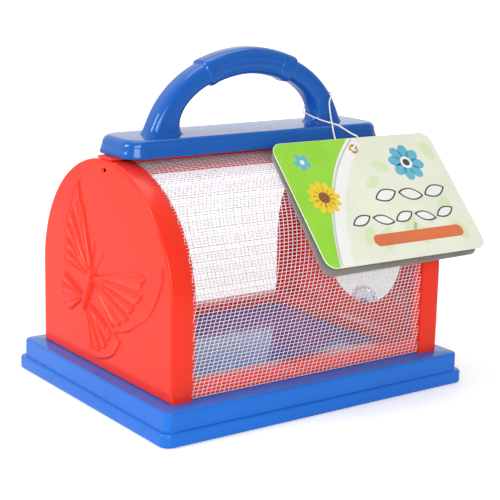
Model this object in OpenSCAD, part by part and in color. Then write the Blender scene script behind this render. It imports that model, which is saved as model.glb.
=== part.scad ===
// Insect cage: a stepped base, two round-topped end panels, wrapped netting, a roof cap with a carry handle.
// X runs along the cage, Y across it and Z up. The origin is the middle of the base's underside.

/* [Cage] */
// Length over the two end panels
cage_l = 161; // [140:1:200]
// Depth over the end panels' flanges
cage_w = 121; // [105:1:150]
// Height of the straight sides, from the deck to where the arch springs
side_h = 42.3; // [32:0.1:60]
// Thickness of an end panel
panel_t = 2.2; // [1.6:0.1:3]
// Depth of an end panel's flange, outer face included
flange_d = 11.4; // [9:0.1:16]
// Thickness of the flange
flange_t = 1.8; // [1.2:0.1:2.4]

/* [Base] */
// How far the base stands out past each end panel
base_lip_l = 10.2; // [7:0.1:14]
// How far the base stands out past the flanges at front and back
base_lip_w = 11; // [7:0.1:14]
// Height of the lower step
step_h = 6.5; // [4:0.1:8]
// How far the upper step stands in from the lower one
step_in = 2.2; // [1:0.1:3]
// Height of the deck that the cage stands on
deck_h = 15.6; // [14:0.1:20]
// How far the floor stands above the deck
floor_rise = 2.4; // [1:0.1:4]
// Wall of the base
base_wall = 2.4; // [1.6:0.1:3]
// Corner radius of the base
base_r = 5; // [4:0.1:8]

/* [Bottom ring] */
// Height of the rails and ledges that ring the floor
ring_h = 7.4; // [6.6:0.1:10]
// How far a panel's ledge reaches in from the panel's outer face
ledge_d = 18.9; // [18:0.1:24]
// Width of the front and back rails
rail_w = 8.6; // [8.2:0.1:12]
// Wall of the rails and ledges
ring_wall = 1.8; // [1.2:0.1:2]

/* [Net and hoops] */
// Thickness of the net
net_t = 0.5; // [0.4:0.05:0.6]
// Width of the net's strands
strand_w = 1.6; // [1.2:0.1:2]
// Gaps along the cage
net_cols = 12; // [8:2:12]
// Gaps round the arch, from the front foot to the back foot
net_rows = 23; // [13:2:25]
// Thickness of the hoops that hold the net's ends
hoop_t = 1.5; // [1:0.1:2]
// How far a hoop reaches in past its flange
hoop_past = 3; // [1:0.1:5]

/* [Doorway and door] */
// Diameter of the doorway
doorway_d = 67; // [50:1:70]
// Height of the doorway's centre above the deck
doorway_h = 45.7; // [42:0.1:47]
// How far the door overlaps the doorway's rim
door_lap = 3; // [2:0.1:5]
// Thickness of the door
door_t = 2; // [1.5:0.1:3]
// Distance from the doorway's centre up to the pivot
pivot_up = 39.7; // [38:0.1:45]
// Diameter of the pivot pin
pin_d = 4; // [3:0.1:5]
// Diameter of the thumb knob
knob_d = 19.6; // [14:0.1:20]
// Thickness of the thumb knob
knob_t = 3.2; // [2:0.1:4]

/* [Roof cap] */
// Width of the cap at its foot
cap_w = 35.2; // [32:0.1:45]
// How far each end of the cap stands in from the panel's outer face
cap_short = 3.6; // [1:0.1:8]
// Height of the cap
cap_h = 8.5; // [7.5:0.1:11]
// How much each side of the cap leans in
cap_lean = 1.2; // [0.5:0.1:2]
// Rounding of the cap's long top edges
cap_edge = 1.6; // [1:0.1:2]
// Rounding of the cap's top edge at its ends
cap_end = 3.8; // [2:0.1:4.5]
// Corner radius of the cap, seen from above
cap_r = 10; // [8:0.1:13]
// Wall and top of the cap
cap_wall = 2; // [1.5:0.1:2.5]
// Width of the bar that the cap sits on
saddle_w = 12; // [10:0.1:16]
// Gap between the flanges' top and the cap, which the bar fills
saddle_gap = 1.4; // [1.2:0.1:3]
// Thickness of the ridge beam under the net
ridge_t = 2.5; // [2:0.1:3]
// Half of the angle that the ridge beam spans
ridge_angle = 14.5; // [12:0.1:22]

/* [Handle] */
// Span of the handle between the middles of its feet
handle_span = 97; // [90:1:110]
// Height of the handle's middle line above the cap
handle_rise = 33.4; // [30:0.1:45]
// Width of a leg at its foot, along the cage
foot_w = 19; // [15:0.1:20]
// Width of a leg beside the grip
leg_w = 11; // [10:0.1:14]
// Thickness of the legs and grip across the cage
handle_t = 13.8; // [12:0.1:15]
// Width of the grip
grip_w = 13.4; // [12:0.1:16]
// Depth of the panels sunk in the grip's two faces
grip_panel = 0.7; // [0.3:0.1:1]

/* [Hang tag] */
// Width of a card
card_w = 100; // [80:1:110]
// Height of a card
card_h = 70; // [50:1:80]
// Thickness of a card
card_t = 0.5; // [0.4:0.05:0.8]
// Corner radius of a card
card_r = 6; // [3:0.1:8]

/* [Butterfly] */
// Length of the upper wing
wing_l = 48; // [30:1:50]
// Length of the lower wing
tail_wing_l = 27; // [18:1:28]
// Height of the raised wings
wing_rise = 1.2; // [0.6:0.1:2]

/* [Hidden] */
$fn = 96;
over = 1;               // overrun of every cut
snug = 0.05;            // clearance between pieces that are fitted once and stay
fit = 0.2;              // clearance of a tongue or tenon
run = 0.08;             // radial clearance of the door's pivot
air = 0.3;              // clearance of a moving piece

blue = "royalblue";
red = "orangered";

arch_r = cage_w / 2;
arch_z = deck_h + side_h;
floor_h = deck_h + floor_rise;
ring_z = deck_h + ring_h;
half_l = cage_l / 2;
plate_in = half_l - panel_t;
flange_in = half_l - flange_d;
flange_r = arch_r - flange_t;
net_r = flange_r - snug;
net_in_r = net_r - net_t;
hoop_r = net_in_r - snug;
hoop_in = flange_in - hoop_past;
ledge_w = hoop_r - snug * 2;
ledge_in = half_l - ledge_d;
rail_in = ledge_w - rail_w;

base_l = cage_l + 2 * base_lip_l;
base_w = cage_w + 2 * base_lip_w;
deck_l = base_l - 2 * step_in;
deck_w = base_w - 2 * step_in;
deck_r = base_r - step_in / 2;
floor_l = 2 * (ledge_in - air);
floor_w = 2 * (rail_in - air);
floor_r = 2;

screw_d = 3;
screw_hole = screw_d + 2 * snug;
screw_slack = screw_d + air;
head_d = 5.8;
head_h = 1.8;
boss_d = 8;

// frame screws, up through the rails' tongues into the ledges
tongue_l = 9;
tongue_t = 1.5;
tongue_z = deck_h + head_h + snug * 2;
tongue_w = rail_w - ring_wall - fit;
frame_screw_x = ledge_in + tongue_l / 2;
frame_screw_y = rail_in + tongue_w / 2;
frame_boss_d = 6;

// base screws, up through the base into the ledges
base_screw_x = (ledge_in + half_l) / 2;
base_screw_y = rail_in * 2 / 3;
seat_h = 3;             // plastic left under a base screw's head
base_seat_z = deck_h - base_wall - seat_h;

// roof
top_z = arch_z + arch_r;
cap_z = top_z + saddle_gap;
cap_top = cap_z + cap_h;
cap_l = cage_l - 2 * cap_short;
ridge_r = hoop_r;
ridge_in_r = ridge_r - ridge_t;
ridge_seat_z = arch_z + sqrt(ridge_in_r * ridge_in_r - head_d * head_d / 4) - snug;
col_pitch = 2 * hoop_in / net_cols;
cap_screw_places = [-3.5, -1.5, 1.5, 3.5];   // in net columns from the middle, so that each passes a gap
cap_screw_depth = 4;    // how deep a cap screw goes into the cap
round_shares = [0, 0.05, 0.14, 0.3, 0.6, 1];    // depths of the cap's slices, as shares of its rounding
latch_w = 3.2;
latch_h = 2.4;
latch_z = arch_z + hoop_r - hoop_t - snug * 2 - latch_h;
latch_short = 0.8;      // how far the latch stays behind the panel's outer face

// handle
handle_a = handle_span / 2;
handle_z = cap_top;
grip_angle = 31.8;      // half of the grip's reach, measured at the handle's middle line
handle_power = 1.08;    // over 1, the legs lean in more between foot and grip
panel_angle = 24;
collar_angle = 4;       // length of the slope at each end of the grip
tenon_d = 9.8;
handle_screw_depth = 9; // how far a handle screw goes into the handle
washer_d = 12;

// doorway and door
doorway_z = deck_h + doorway_h;
doorway_r = doorway_d / 2;
pivot_z = doorway_z + pivot_up;
door_r = doorway_r + door_lap;
door_x = half_l + air;
door_out = door_x + door_t;
lug_r = 6.5;
knob_z = deck_h + air * 2 + knob_d / 2;
knob_wall = 1.6;
knob_stub_d = 6;
rivet_head_d = 8;
rivet_head_t = 1.6;
rivet_tail_d = 5.6;
washer_t = 1.2;

// hang tag: the back card leans on the flange, the front card stands off it at the eyelet
tag_drop = 6;           // from a card's top edge down to the eyelet
tag_eye_x = -3.4;       // from a card's middle to the eyelet
tag_gap = 0.6;          // air between the two cards at the eyelet
tag_air = 0.4;          // air between the back card and the flange
front_lean = 44.5;
back_twist = -3;        // the back card hangs a little askew on the eyelet
eye_x = 45.9;
eye_angle = 25.7;       // where the eyelet sits, from the crown of the arch
eye_out = 5.6;          // and how far out from the flanges
eye_reach = arch_r + eye_out;
back_lean = eye_angle + acos((arch_r + tag_air + card_t) / eye_reach);
eye_place = [eye_x, -eye_reach * sin(eye_angle), arch_z + eye_reach * cos(eye_angle)];
eye_d = 5.6;
eye_bore = 2.8;
eye_barrel = 3.8;
eye_lip = 0.35;

// string
string_d = 0.8;
string_route = [        // from the knot round the leg's outer side, down through the eyelet and back behind the leg
    [46.5, 9, 137.4], [49.4, 7.5, 139.6], [50.9, 6.2, 141.6], [51.4, 3.3, 143], [51.1, -3.3, 143.5],
    [50.2, -5.9, 143.2], [48.5, -7.4, 141.9], [46.9, -8.2, 139.4], [46.2, -9.6, 135.6], [44.8, -12.4, 132],
    [43.1, -15.6, 129.4], [41.6, -18.6, 126.2], [40.6, -21.6, 122.6], [40.8, -24.7, 118.6], [42, -25.6, 116.4],
    [43.9, -25.8, 114.8], [45.6, -26.4, 115.2], [45.9, -27.5, 116.3], [45.9, -28.7, 117.5], [45.9, -29.7, 118.7],
    [46.3, -30.2, 120.2], [47.9, -29.5, 121.9], [50.1, -27.6, 122.9], [51.6, -25.2, 123.8], [50.9, -23, 124.4],
    [48.6, -19.8, 126.4], [45.9, -16.8, 128.6], [42.9, -13, 129.7], [40.6, -9, 130.7], [39.1, -4.6, 131.9],
    [38.7, 0, 132.8], [40.1, 4, 132.3], [41.6, 6.6, 133.7], [45.5, 9.1, 136.4]];
knot_d = 2.6;
knot_place = [46, 9.2, 136.9];

// butterfly: the middle of its body, its tilt, and a wing's reach at shares of its sweep
butterfly_y = 14.2;
butterfly_z = 52.2;
butterfly_tilt = 24;
body_l = 25;
body_w = 4.6;
root_y = 5.5;           // the wings' roots, from the body's middle
upper_from = 44;
upper_to = -25;
lower_from = 3;
lower_to = -60;
upper_reach_shares = [[0, 0.96], [0.06, 1], [0.2, 0.97], [0.3, 0.9], [0.5, 0.77], [0.75, 0.63], [1, 0.5]];
lower_reach_shares = [[0, 0.85], [0.35, 1], [0.6, 0.98], [0.85, 0.9], [1, 0.6]];
upper_grow_shares = [[0, 1.34], [0.3, 1.28], [0.6, 1.22], [1, 1.2]];   // of the raised ground round the wings
lower_grow_shares = [[0, 1.3], [1, 1.14]];
plain_shares = [[0, 1], [1, 1]];
far_wing_share = 0.84;
scallop_share = 0.05;
wing_points = 36;
rib_w = 0.9;

module plate2d(l, w, r) {
    square([l - 2 * r, w], center = true);
    square([l, w - 2 * r], center = true);
    for (sx = [-1, 1], sy = [-1, 1]) translate([sx * (l / 2 - r), sy * (w / 2 - r)]) circle(r);
}

// the cage's end outline: straight sides from the height low, and a half circle over them
module arch2d(r, low) {
    translate([-r, low]) square([2 * r, arch_z - low]);
    intersection() {
        translate([0, arch_z]) circle(r);
        translate([-r, low]) square([2 * r, arch_z + r - low]);
    }
}

// an outline drawn in Y and Z, made solid from x0 to x1
module along_x(x0, x1) {
    translate([x0, 0, 0]) rotate([90, 0, 90]) linear_extrude(x1 - x0) children();
}

module box_from(low, high) {
    translate(low) cube(high - low);
}

module post(x, y, z0, z1, d) {
    translate([x, y, z0]) cylinder(d = d, h = z1 - z0);
}

// a pan-head screw standing on its head's underside at z, shank upwards
module screw(x, y, z, l) {
    post(x, y, z - head_h, z, head_d);
    post(x, y, z - over / 2, z + l, screw_d);
}

module each_corner(x, y) {
    for (sx = [-1, 1], sy = [-1, 1]) translate([sx * x, sy * y, 0]) children();
}

module base_tray() {
    color(blue) difference() {
        union() {
            difference() {
                union() {
                    linear_extrude(step_h) plate2d(base_l, base_w, base_r);
                    linear_extrude(deck_h) plate2d(deck_l, deck_w, deck_r);
                    linear_extrude(floor_h) plate2d(floor_l, floor_w, floor_r);
                }
                translate([0, 0, -over]) linear_extrude(deck_h - base_wall + over)
                    plate2d(deck_l - 2 * base_wall, deck_w - 2 * base_wall, deck_r - base_wall / 2);
                translate([0, 0, -over]) linear_extrude(floor_h - base_wall + over)
                    plate2d(floor_l - 2 * base_wall, floor_w - 2 * base_wall, floor_r);
            }
            each_corner(base_screw_x, base_screw_y)
                post(0, 0, base_wall, deck_h - base_wall / 2, head_d + 2 * base_wall);
        }
        each_corner(base_screw_x, base_screw_y) {
            post(0, 0, -over, base_seat_z, head_d + air);
            post(0, 0, -over, deck_h + over, screw_slack);
        }
    }
}

module net_arch(r0, r1, low, x0, x1) {
    along_x(x0, x1) difference() {
        arch2d(r1, low);
        arch2d(r0, low - over);
    }
}

// one end panel with its outer face on the +X side
module panel_shell() {
    difference() {
        union() {
            along_x(plate_in, half_l) arch2d(arch_r, deck_h);
            net_arch(flange_r, arch_r, deck_h, flange_in, half_l - panel_t / 2);
            difference() {
                box_from([ledge_in, -ledge_w, deck_h], [half_l - panel_t / 2, ledge_w, ring_z]);
                box_from([ledge_in + ring_wall, -ledge_w + ring_wall, deck_h - over],
                         [plate_in, ledge_w - ring_wall, ring_z - ring_wall]);
            }
            for (sy = [-1, 1]) {
                post(base_screw_x, sy * base_screw_y, deck_h, ring_z - ring_wall / 2, boss_d);
                post(frame_screw_x, sy * frame_screw_y, tongue_z + tongue_t + snug, ring_z - ring_wall / 2,
                     frame_boss_d);
            }
        }
        for (sy = [-1, 1]) {
            post(base_screw_x, sy * base_screw_y, deck_h - over, ring_z - ring_wall, screw_hole);
            post(frame_screw_x, sy * frame_screw_y, deck_h - over, ring_z - ring_wall / 2, screw_hole);
            translate([ledge_in, sy * frame_screw_y, deck_h])
                box_from([-over, -tongue_w / 2 - fit, -over],
                         [ring_wall + over, tongue_w / 2 + fit, tongue_z + tongue_t + fit - deck_h]);
        }
        box_from([plate_in - over, -latch_w / 2 - fit, latch_z - fit], [half_l + over, latch_w / 2 + fit,
                 latch_z + latch_h + snug]);
    }
}

function fan(reach, a0, a1, shares, grow, scallops) = concat([[0, 0]], [for (i = [0:wing_points]) let (
    s = i / wing_points, a = a0 + (a1 - a0) * s,
    r = reach * lookup(s, shares) * lookup(s, grow) * (1 - scallop_share * (1 - abs(sin(180 * scallops * s)))))
    [r * cos(a), r * sin(a)]]);

module wings2d(upper_grow, lower_grow) {
    translate([0, root_y]) polygon(fan(wing_l, upper_from, upper_to, upper_reach_shares, upper_grow, 5));
    translate([0, -root_y]) polygon(fan(tail_wing_l, lower_from, lower_to, lower_reach_shares, lower_grow, 3));
}

module wing_ribs2d() {
    for (i = [1:4]) translate([0, root_y]) rotate(upper_from + (upper_to - upper_from) * i / 5)
        translate([wing_l / 5, -rib_w / 2]) square([wing_l / 3, rib_w]);
    for (i = [1:2]) translate([0, -root_y]) rotate(lower_from + (lower_to - lower_from) * i / 3)
        translate([tail_wing_l / 4, -rib_w / 2]) square([tail_wing_l / 2, rib_w]);
}

module butterfly() {
    rotate(-butterfly_tilt) {
        linear_extrude(wing_rise / 2) wings2d(upper_grow_shares, lower_grow_shares);
        linear_extrude(wing_rise) wings2d(plain_shares, plain_shares);
        linear_extrude(wing_rise + rib_w / 2) wing_ribs2d();
        scale([-far_wing_share, 1, 1]) {
            linear_extrude(wing_rise) wings2d(plain_shares, plain_shares);
            linear_extrude(wing_rise + rib_w / 2) wing_ribs2d();
        }
        linear_extrude(wing_rise + rib_w) {
            for (s = [-1, 1]) translate([0, s * (body_l - body_w) / 2]) circle(d = body_w);
            square([body_w, body_l - body_w], center = true);
        }
    }
}

module left_end_panel() {
    color(red) {
        mirror([1, 0, 0]) panel_shell();
        translate([-half_l, butterfly_y, butterfly_z]) rotate([90, 0, -90]) butterfly();
    }
}

module right_end_panel() {
    color(red) difference() {
        panel_shell();
        translate([plate_in - over, 0, doorway_z]) rotate([0, 90, 0]) cylinder(r = doorway_r, h = panel_t + 2 * over);
        translate([plate_in - over, 0, pivot_z]) rotate([0, 90, 0]) cylinder(d = pin_d + 2 * snug, h = panel_t + 2 * over);
    }
}

// the front rail; the back rail is its mirror image
module rail() {
    difference() {
        union() {
            difference() {
                box_from([-ledge_in, -ledge_w, deck_h], [ledge_in, -rail_in, ring_z]);
                box_from([-ledge_in + ring_wall, -ledge_w + ring_wall, deck_h - over],
                         [ledge_in - ring_wall, -rail_in - ring_wall, ring_z - ring_wall]);
            }
            for (sx = [-1, 1]) translate([sx * (ledge_in + tongue_l / 2), -frame_screw_y, tongue_z])
                linear_extrude(tongue_t) square([tongue_l + ring_wall * 2, tongue_w], center = true);
        }
        for (sx = [-1, 1]) post(sx * frame_screw_x, -frame_screw_y, deck_h, ring_z, screw_slack);
    }
}

module front_rail() {
    color(red) rail();
}

module back_rail() {
    color(red) mirror([0, 1, 0]) rail();
}

module hoop() {
    net_arch(hoop_r - hoop_t, hoop_r, ring_z, hoop_in, plate_in);
}

module left_hoop() {
    color(red) mirror([1, 0, 0]) hoop();
}

module right_hoop() {
    color(red) hoop();
}

// a point of the net's middle surface at the length s along it, counted from the front foot
net_mid_r = (net_r + net_in_r) / 2;
net_arc = PI * net_mid_r;
net_len = 2 * side_h + net_arc;
net_joints = [for (j = [3:2:(net_rows - 1) / 2]) j];   // rows in whose middle two lengths of the net meet
net_slit = 0.04;

// the place of a row of the net, as a length along it
function net_row(j) = strand_w / 2 + j * (net_len - strand_w) / net_rows;

module on_net(s) {
    if (s < side_h) translate([0, -net_mid_r, deck_h + s]) children();
    else if (s > side_h + net_arc) translate([0, net_mid_r, deck_h + net_len - s]) children();
    else translate([0, 0, arch_z]) rotate([-(s - side_h) / net_arc * 180 + 90, 0, 0])
        translate([0, 0, net_mid_r]) rotate([-90, 0, 0]) children();
}

// the net's sheet is laid in lengths that meet in the middle of a row, so that each length is nearly flat
module net_screen() {
    color("white") difference() {
        union() {
            for (i = [1:net_cols - 1]) {
                x = -hoop_in + i * col_pitch;
                net_arch(net_in_r, net_r, deck_h, x - strand_w / 2, x + strand_w / 2);
            }
            for (s = [0, 1]) mirror([s, 0, 0]) net_arch(net_in_r, net_r, deck_h, hoop_in - strand_w, plate_in - fit);
            for (j = [0:net_rows]) on_net(net_row(j)) cube([2 * hoop_in, net_t * 0.6, strand_w], center = true);
        }
        for (j = net_joints, s = [0, 1])
            on_net(net_row(s == 0 ? j : net_rows - j)) cube([cage_l, net_t * 4, net_slit], center = true);
    }
}

module ridge_beam() {
    color(red) difference() {
        union() {
            intersection() {
                net_arch(ridge_in_r, ridge_r, deck_h, -hoop_in, hoop_in);
                along_x(-hoop_in, hoop_in) translate([0, arch_z]) polygon([[0, 0],
                    [arch_r * tan(ridge_angle), arch_r], [-arch_r * tan(ridge_angle), arch_r]]);
            }
            for (s = [0, 1]) mirror([s, 0, 0]) box_from([hoop_in - ridge_t * 2, -latch_w / 2, latch_z],
                [half_l - latch_short, latch_w / 2, latch_z + latch_h]);
        }
        for (p = cap_screw_places) post(p * col_pitch, 0, arch_z, top_z, screw_slack);
    }
}

module saddle_bar() {
    color(red) difference() {
        box_from([-half_l, -saddle_w / 2, arch_z + net_in_r - ridge_t], [half_l, saddle_w / 2, cap_z]);
        along_x(-flange_in - air, flange_in + air) translate([0, arch_z]) circle(net_r + snug);
        for (sx = [-1, 1]) along_x(sx < 0 ? -half_l - over : flange_in, sx < 0 ? -flange_in : half_l + over)
            translate([0, arch_z]) circle(arch_r + snug);
        for (p = cap_screw_places) post(p * col_pitch, 0, arch_z, cap_z + over, screw_slack);
    }
}

// a level slice of the cap, in from its foot by one amount at its sides and by another at its ends
module cap_layer(z, side_in, end_in, h) {
    translate([0, 0, z]) linear_extrude(h) plate2d(cap_l - 2 * end_in, cap_w - 2 * side_in, cap_r - side_in);
}

// how far an edge rounded to radius r stands in at a depth under its top
function round_in(r, depth) = depth >= r ? 0 : r - sqrt(depth * (2 * r - depth));

module roof_cap() {
    skin = cap_edge / 8;
    side_in = cap_lean + cap_edge + cap_wall;
    end_in = cap_lean + cap_end + cap_wall;
    color(blue) difference() {
        union() {
            difference() {
                hull() {
                    cap_layer(cap_z, 0, 0, skin);
                    for (s = round_shares) let (depth = s * cap_end)
                        cap_layer(cap_top - depth - skin, cap_lean + round_in(cap_edge, depth),
                            cap_lean + round_in(cap_end, depth), skin);
                }
                cap_layer(cap_z - over, side_in, end_in, cap_h - cap_wall + over);
                cap_layer(cap_z - over, side_in - cap_edge, end_in - cap_end, cap_h - cap_end - cap_wall + over);
            }
            for (p = cap_screw_places) post(p * col_pitch, 0, cap_z, cap_top - cap_wall / 2, boss_d - over);
        }
        for (p = cap_screw_places) post(p * col_pitch, 0, cap_z - over, cap_z + cap_screw_depth, screw_hole);
        for (sx = [-1, 1]) post(sx * handle_a, 0, cap_z, cap_top + over, tenon_d + 2 * snug);
    }
}

// the handle's middle line, by the angle from its crown, and the half width and thickness there
function handle_at(a) = [handle_a * sign(a) * pow(abs(sin(a)), handle_power), 0, handle_z + handle_rise * cos(a)];
function step_up(x) = x <= 0 ? 0 : x >= 1 ? 1 : x * x * (3 - 2 * x);
function grip_in(a) = step_up((grip_angle + collar_angle - abs(a)) / collar_angle);
function panel_in(a) = step_up((panel_angle - abs(a)) / collar_angle * 2);
function half_wide(a) = let (u = max(0, (abs(a) - grip_angle) / (90 - grip_angle)))
    (leg_w + (foot_w - leg_w) * u * u * u * u) / 2 * (1 - grip_in(a)) + grip_w / 2 * grip_in(a);
function half_thick(a) = handle_t / 2 - grip_panel * panel_in(a);
function ring_dir(a) = let (s = max(abs(sin(a)), handle_power / 1000),
    d = [handle_a * handle_power * pow(s, handle_power - 1) * cos(a), -handle_rise * sin(a)]) d / norm(d);
corner_share = 0.62;    // how square the handle's section is
function squarish(c) = sign(c) * pow(abs(c), corner_share);
handle_sides = 16;
function handle_ring(a) = let (m = handle_at(a), d = ring_dir(a))
    [for (k = [0:handle_sides - 1]) let (t = 360 * k / handle_sides, w = half_wide(a) * squarish(cos(t)))
        [m[0] - d[1] * w, -half_thick(a) * squarish(sin(t)), m[2] + d[0] * w]];
function tenon_ring(side, z) = [for (k = [0:handle_sides - 1]) let (t = 360 * k / handle_sides)
    [side * (handle_a + tenon_d / 2 * cos(t)), -tenon_d / 2 * sin(t), z]];
handle_stops = concat([for (a = [90:-6:grip_angle + collar_angle + 2]) a],
    [grip_angle + collar_angle, grip_angle + collar_angle / 2, grip_angle, (grip_angle + panel_angle) / 2],
    [panel_angle, panel_angle - collar_angle / 4, panel_angle - collar_angle / 2, 16, 8]);

// a closed skin over rings that have equally many points
module loft(rings) {
    n = len(rings);
    sides = len(rings[0]);
    polyhedron(points = [for (r = rings) each r], faces = concat(
        [[for (k = [sides - 1:-1:0]) k]],
        [[for (k = [0:sides - 1]) (n - 1) * sides + k]],
        [for (i = [0:n - 2], k = [0:sides - 1]) let (q = (k + 1) % sides)
            [i * sides + k, i * sides + q, (i + 1) * sides + q]],
        [for (i = [0:n - 2], k = [0:sides - 1]) let (q = (k + 1) % sides)
            [i * sides + k, (i + 1) * sides + q, (i + 1) * sides + k]]));
}

module carry_handle() {
    n = len(handle_stops);
    color(blue) difference() {
        loft([tenon_ring(-1, cap_top - cap_wall), tenon_ring(-1, cap_top),
            for (i = [0:n - 1]) handle_ring(-handle_stops[i]), handle_ring(0),
            for (i = [n - 1:-1:0]) handle_ring(handle_stops[i]),
            tenon_ring(1, cap_top), tenon_ring(1, cap_top - cap_wall)]);
        for (sx = [-1, 1]) post(sx * handle_a, 0, cap_z, cap_top + handle_screw_depth, screw_hole);
    }
}

module cap_screws() {
    color("silver") for (p = cap_screw_places)
        screw(p * col_pitch, 0, ridge_seat_z, cap_z + cap_screw_depth - fit - ridge_seat_z);
}

module handle_screws() {
    color("silver") for (sx = [-1, 1]) {
        post(sx * handle_a, 0, cap_top - cap_wall - head_h, cap_top - cap_wall, washer_d);
        post(sx * handle_a, 0, cap_top - cap_wall - over, cap_top + handle_screw_depth - fit, screw_d);
    }
}

module frame_screws() {
    color("silver") each_corner(frame_screw_x, frame_screw_y)
        screw(0, 0, tongue_z, ring_z - ring_wall / 2 - fit - tongue_z);
}

module base_screws() {
    color("silver") each_corner(base_screw_x, base_screw_y)
        screw(0, 0, base_seat_z, ring_z - ring_wall - fit - base_seat_z);
}

module door2d() {
    circle(door_r);
    translate([-lug_r, 0]) square([2 * lug_r, pivot_up]);
    translate([0, pivot_up]) circle(lug_r);
    translate([0, knob_z - doorway_z]) circle(d = knob_d - knob_wall);
}

module swing_door() {
    color("lightcyan", 0.35) translate([0, 0, doorway_z]) difference() {
        along_x(door_x, door_out) door2d();
        translate([door_x - over, 0, pivot_up]) rotate([0, 90, 0]) cylinder(d = pin_d + 2 * run, h = door_t + 2 * over);
        translate([door_x - over, 0, knob_z - doorway_z]) rotate([0, 90, 0])
            cylinder(d = knob_stub_d + 2 * snug, h = door_t + 2 * over);
    }
}

module door_knob() {
    color("plum", 0.6) translate([0, 0, knob_z]) rotate([0, 90, 0]) {
        translate([0, 0, door_x]) cylinder(d = knob_stub_d, h = door_t + knob_wall);
        difference() {
            translate([0, 0, door_out]) cylinder(d = knob_d, h = knob_t);
            translate([0, 0, door_out + knob_wall]) cylinder(d = knob_d - 2 * knob_wall, h = knob_t);
        }
    }
}

module door_pin() {
    color("silver") translate([0, 0, pivot_z]) rotate([0, 90, 0]) {
        translate([0, 0, plate_in - washer_t]) cylinder(d = pin_d, h = door_out + fit - plate_in + washer_t);
        translate([0, 0, door_out + fit]) cylinder(d = rivet_head_d, h = rivet_head_t);
        translate([0, 0, plate_in - washer_t - rivet_head_t / 2]) cylinder(d = rivet_tail_d, h = rivet_head_t / 2);
    }
}

module door_washer() {
    color("silver") translate([plate_in - washer_t, 0, pivot_z]) rotate([0, 90, 0]) difference() {
        cylinder(d = rivet_head_d, h = washer_t);
        translate([0, 0, -over]) cylinder(d = pin_d + 2 * snug, h = washer_t + 2 * over);
    }
}

// A card is drawn flat: its eyelet at the origin, X along it, Y up it and its outer face at Z = 0.
module on_back_card() {
    translate(eye_place) rotate([back_lean, 0, 0]) children();
}

module on_front_card() {
    translate(eye_place) rotate([front_lean, 0, 0]) translate([0, 0, card_t + tag_gap]) children();
}

module card() {
    translate([0, 0, -card_t]) difference() {
        translate([-tag_eye_x, tag_drop - card_h / 2, 0]) linear_extrude(card_t) plate2d(card_w, card_h, card_r);
        translate([0, 0, -over]) cylinder(d = eye_barrel + 2 * fit, h = card_t + 2 * over);
    }
}

module tag_front_card() {
    color("honeydew") on_front_card() card();
}

module tag_back_card() {
    color("gray") on_back_card() rotate(back_twist) card();
}

module tag_eyelet() {
    depth = 2 * card_t + tag_gap + fit;
    color("goldenrod") on_front_card() difference() {
        translate([0, 0, -depth]) union() {
            cylinder(d = eye_barrel, h = depth + snug);
            translate([0, 0, -eye_lip]) cylinder(d = eye_d, h = eye_lip);
            translate([0, 0, depth + snug]) cylinder(d = eye_d, h = eye_lip);
        }
        translate([0, 0, -depth - over]) cylinder(d = eye_bore, h = depth + 2 * over);
    }
}

// a tube of d along the points p, with a ring of sides square to the way at each point
function way(p, i) = let (a = p[max(0, i - 1)], b = p[min(len(p) - 1, i + 1)]) (b - a) / norm(b - a);
function lift(p, i, n) = let (t = way(p, i), v = n - (n * t) * t) v / norm(v);
function lifts(p, i, n) = i >= len(p) ? [] : let (v = lift(p, i, n)) concat([v], lifts(p, i + 1, v));
function glide(a, b, c, d, t) = (2 * b + (c - a) * t + (2 * a - 5 * b + 4 * c - d) * t * t
    + (3 * b - a - 3 * c + d) * t * t * t) / 2;
function curve(p, n) = [for (i = [0:len(p) - 2], k = [0:n - 1]) glide(p[max(0, i - 1)], p[i], p[i + 1],
    p[min(len(p) - 1, i + 2)], k / n), p[len(p) - 1]];

module tube(p, d, sides) {
    up = lifts(p, 0, [0, 0, 1]);
    loft([for (i = [0:len(p) - 1]) let (w = cross(way(p, i), up[i]))
        [for (k = [0:sides - 1]) p[i] + d / 2 * (up[i] * cos(360 * k / sides) + w * sin(360 * k / sides))]]);
}

module tag_string() {
    color("white") tube(curve(string_route, 2), string_d, 8);
}

module string_knot() {
    color("white") translate(knot_place) sphere(d = knot_d, $fn = 32);
}

base_tray();
left_end_panel();
right_end_panel();
front_rail();
back_rail();
left_hoop();
right_hoop();
net_screen();
ridge_beam();
saddle_bar();
roof_cap();
carry_handle();
cap_screws();
handle_screws();
frame_screws();
base_screws();
swing_door();
door_knob();
door_pin();
door_washer();
tag_front_card();
tag_back_card();
tag_eyelet();
tag_string();
string_knot();
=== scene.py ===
import math

import bmesh
import bpy
import numpy as np
from mathutils import Matrix, Vector


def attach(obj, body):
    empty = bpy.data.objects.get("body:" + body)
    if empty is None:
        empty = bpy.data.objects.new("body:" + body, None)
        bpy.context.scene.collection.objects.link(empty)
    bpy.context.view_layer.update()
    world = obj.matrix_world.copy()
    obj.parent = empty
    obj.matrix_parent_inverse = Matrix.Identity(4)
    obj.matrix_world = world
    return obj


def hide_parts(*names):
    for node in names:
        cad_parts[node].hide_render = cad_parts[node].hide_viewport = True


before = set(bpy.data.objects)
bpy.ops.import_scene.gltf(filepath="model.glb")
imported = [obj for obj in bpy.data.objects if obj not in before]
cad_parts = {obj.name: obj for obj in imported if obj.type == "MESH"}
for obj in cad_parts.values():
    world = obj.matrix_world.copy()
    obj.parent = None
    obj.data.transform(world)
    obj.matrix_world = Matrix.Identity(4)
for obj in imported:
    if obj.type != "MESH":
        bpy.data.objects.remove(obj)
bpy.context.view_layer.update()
mm = 0.001
cage = "cage"
door = "door"
flatArea = 20e-6  # larger faces, in square metres, are shaded flat

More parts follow.
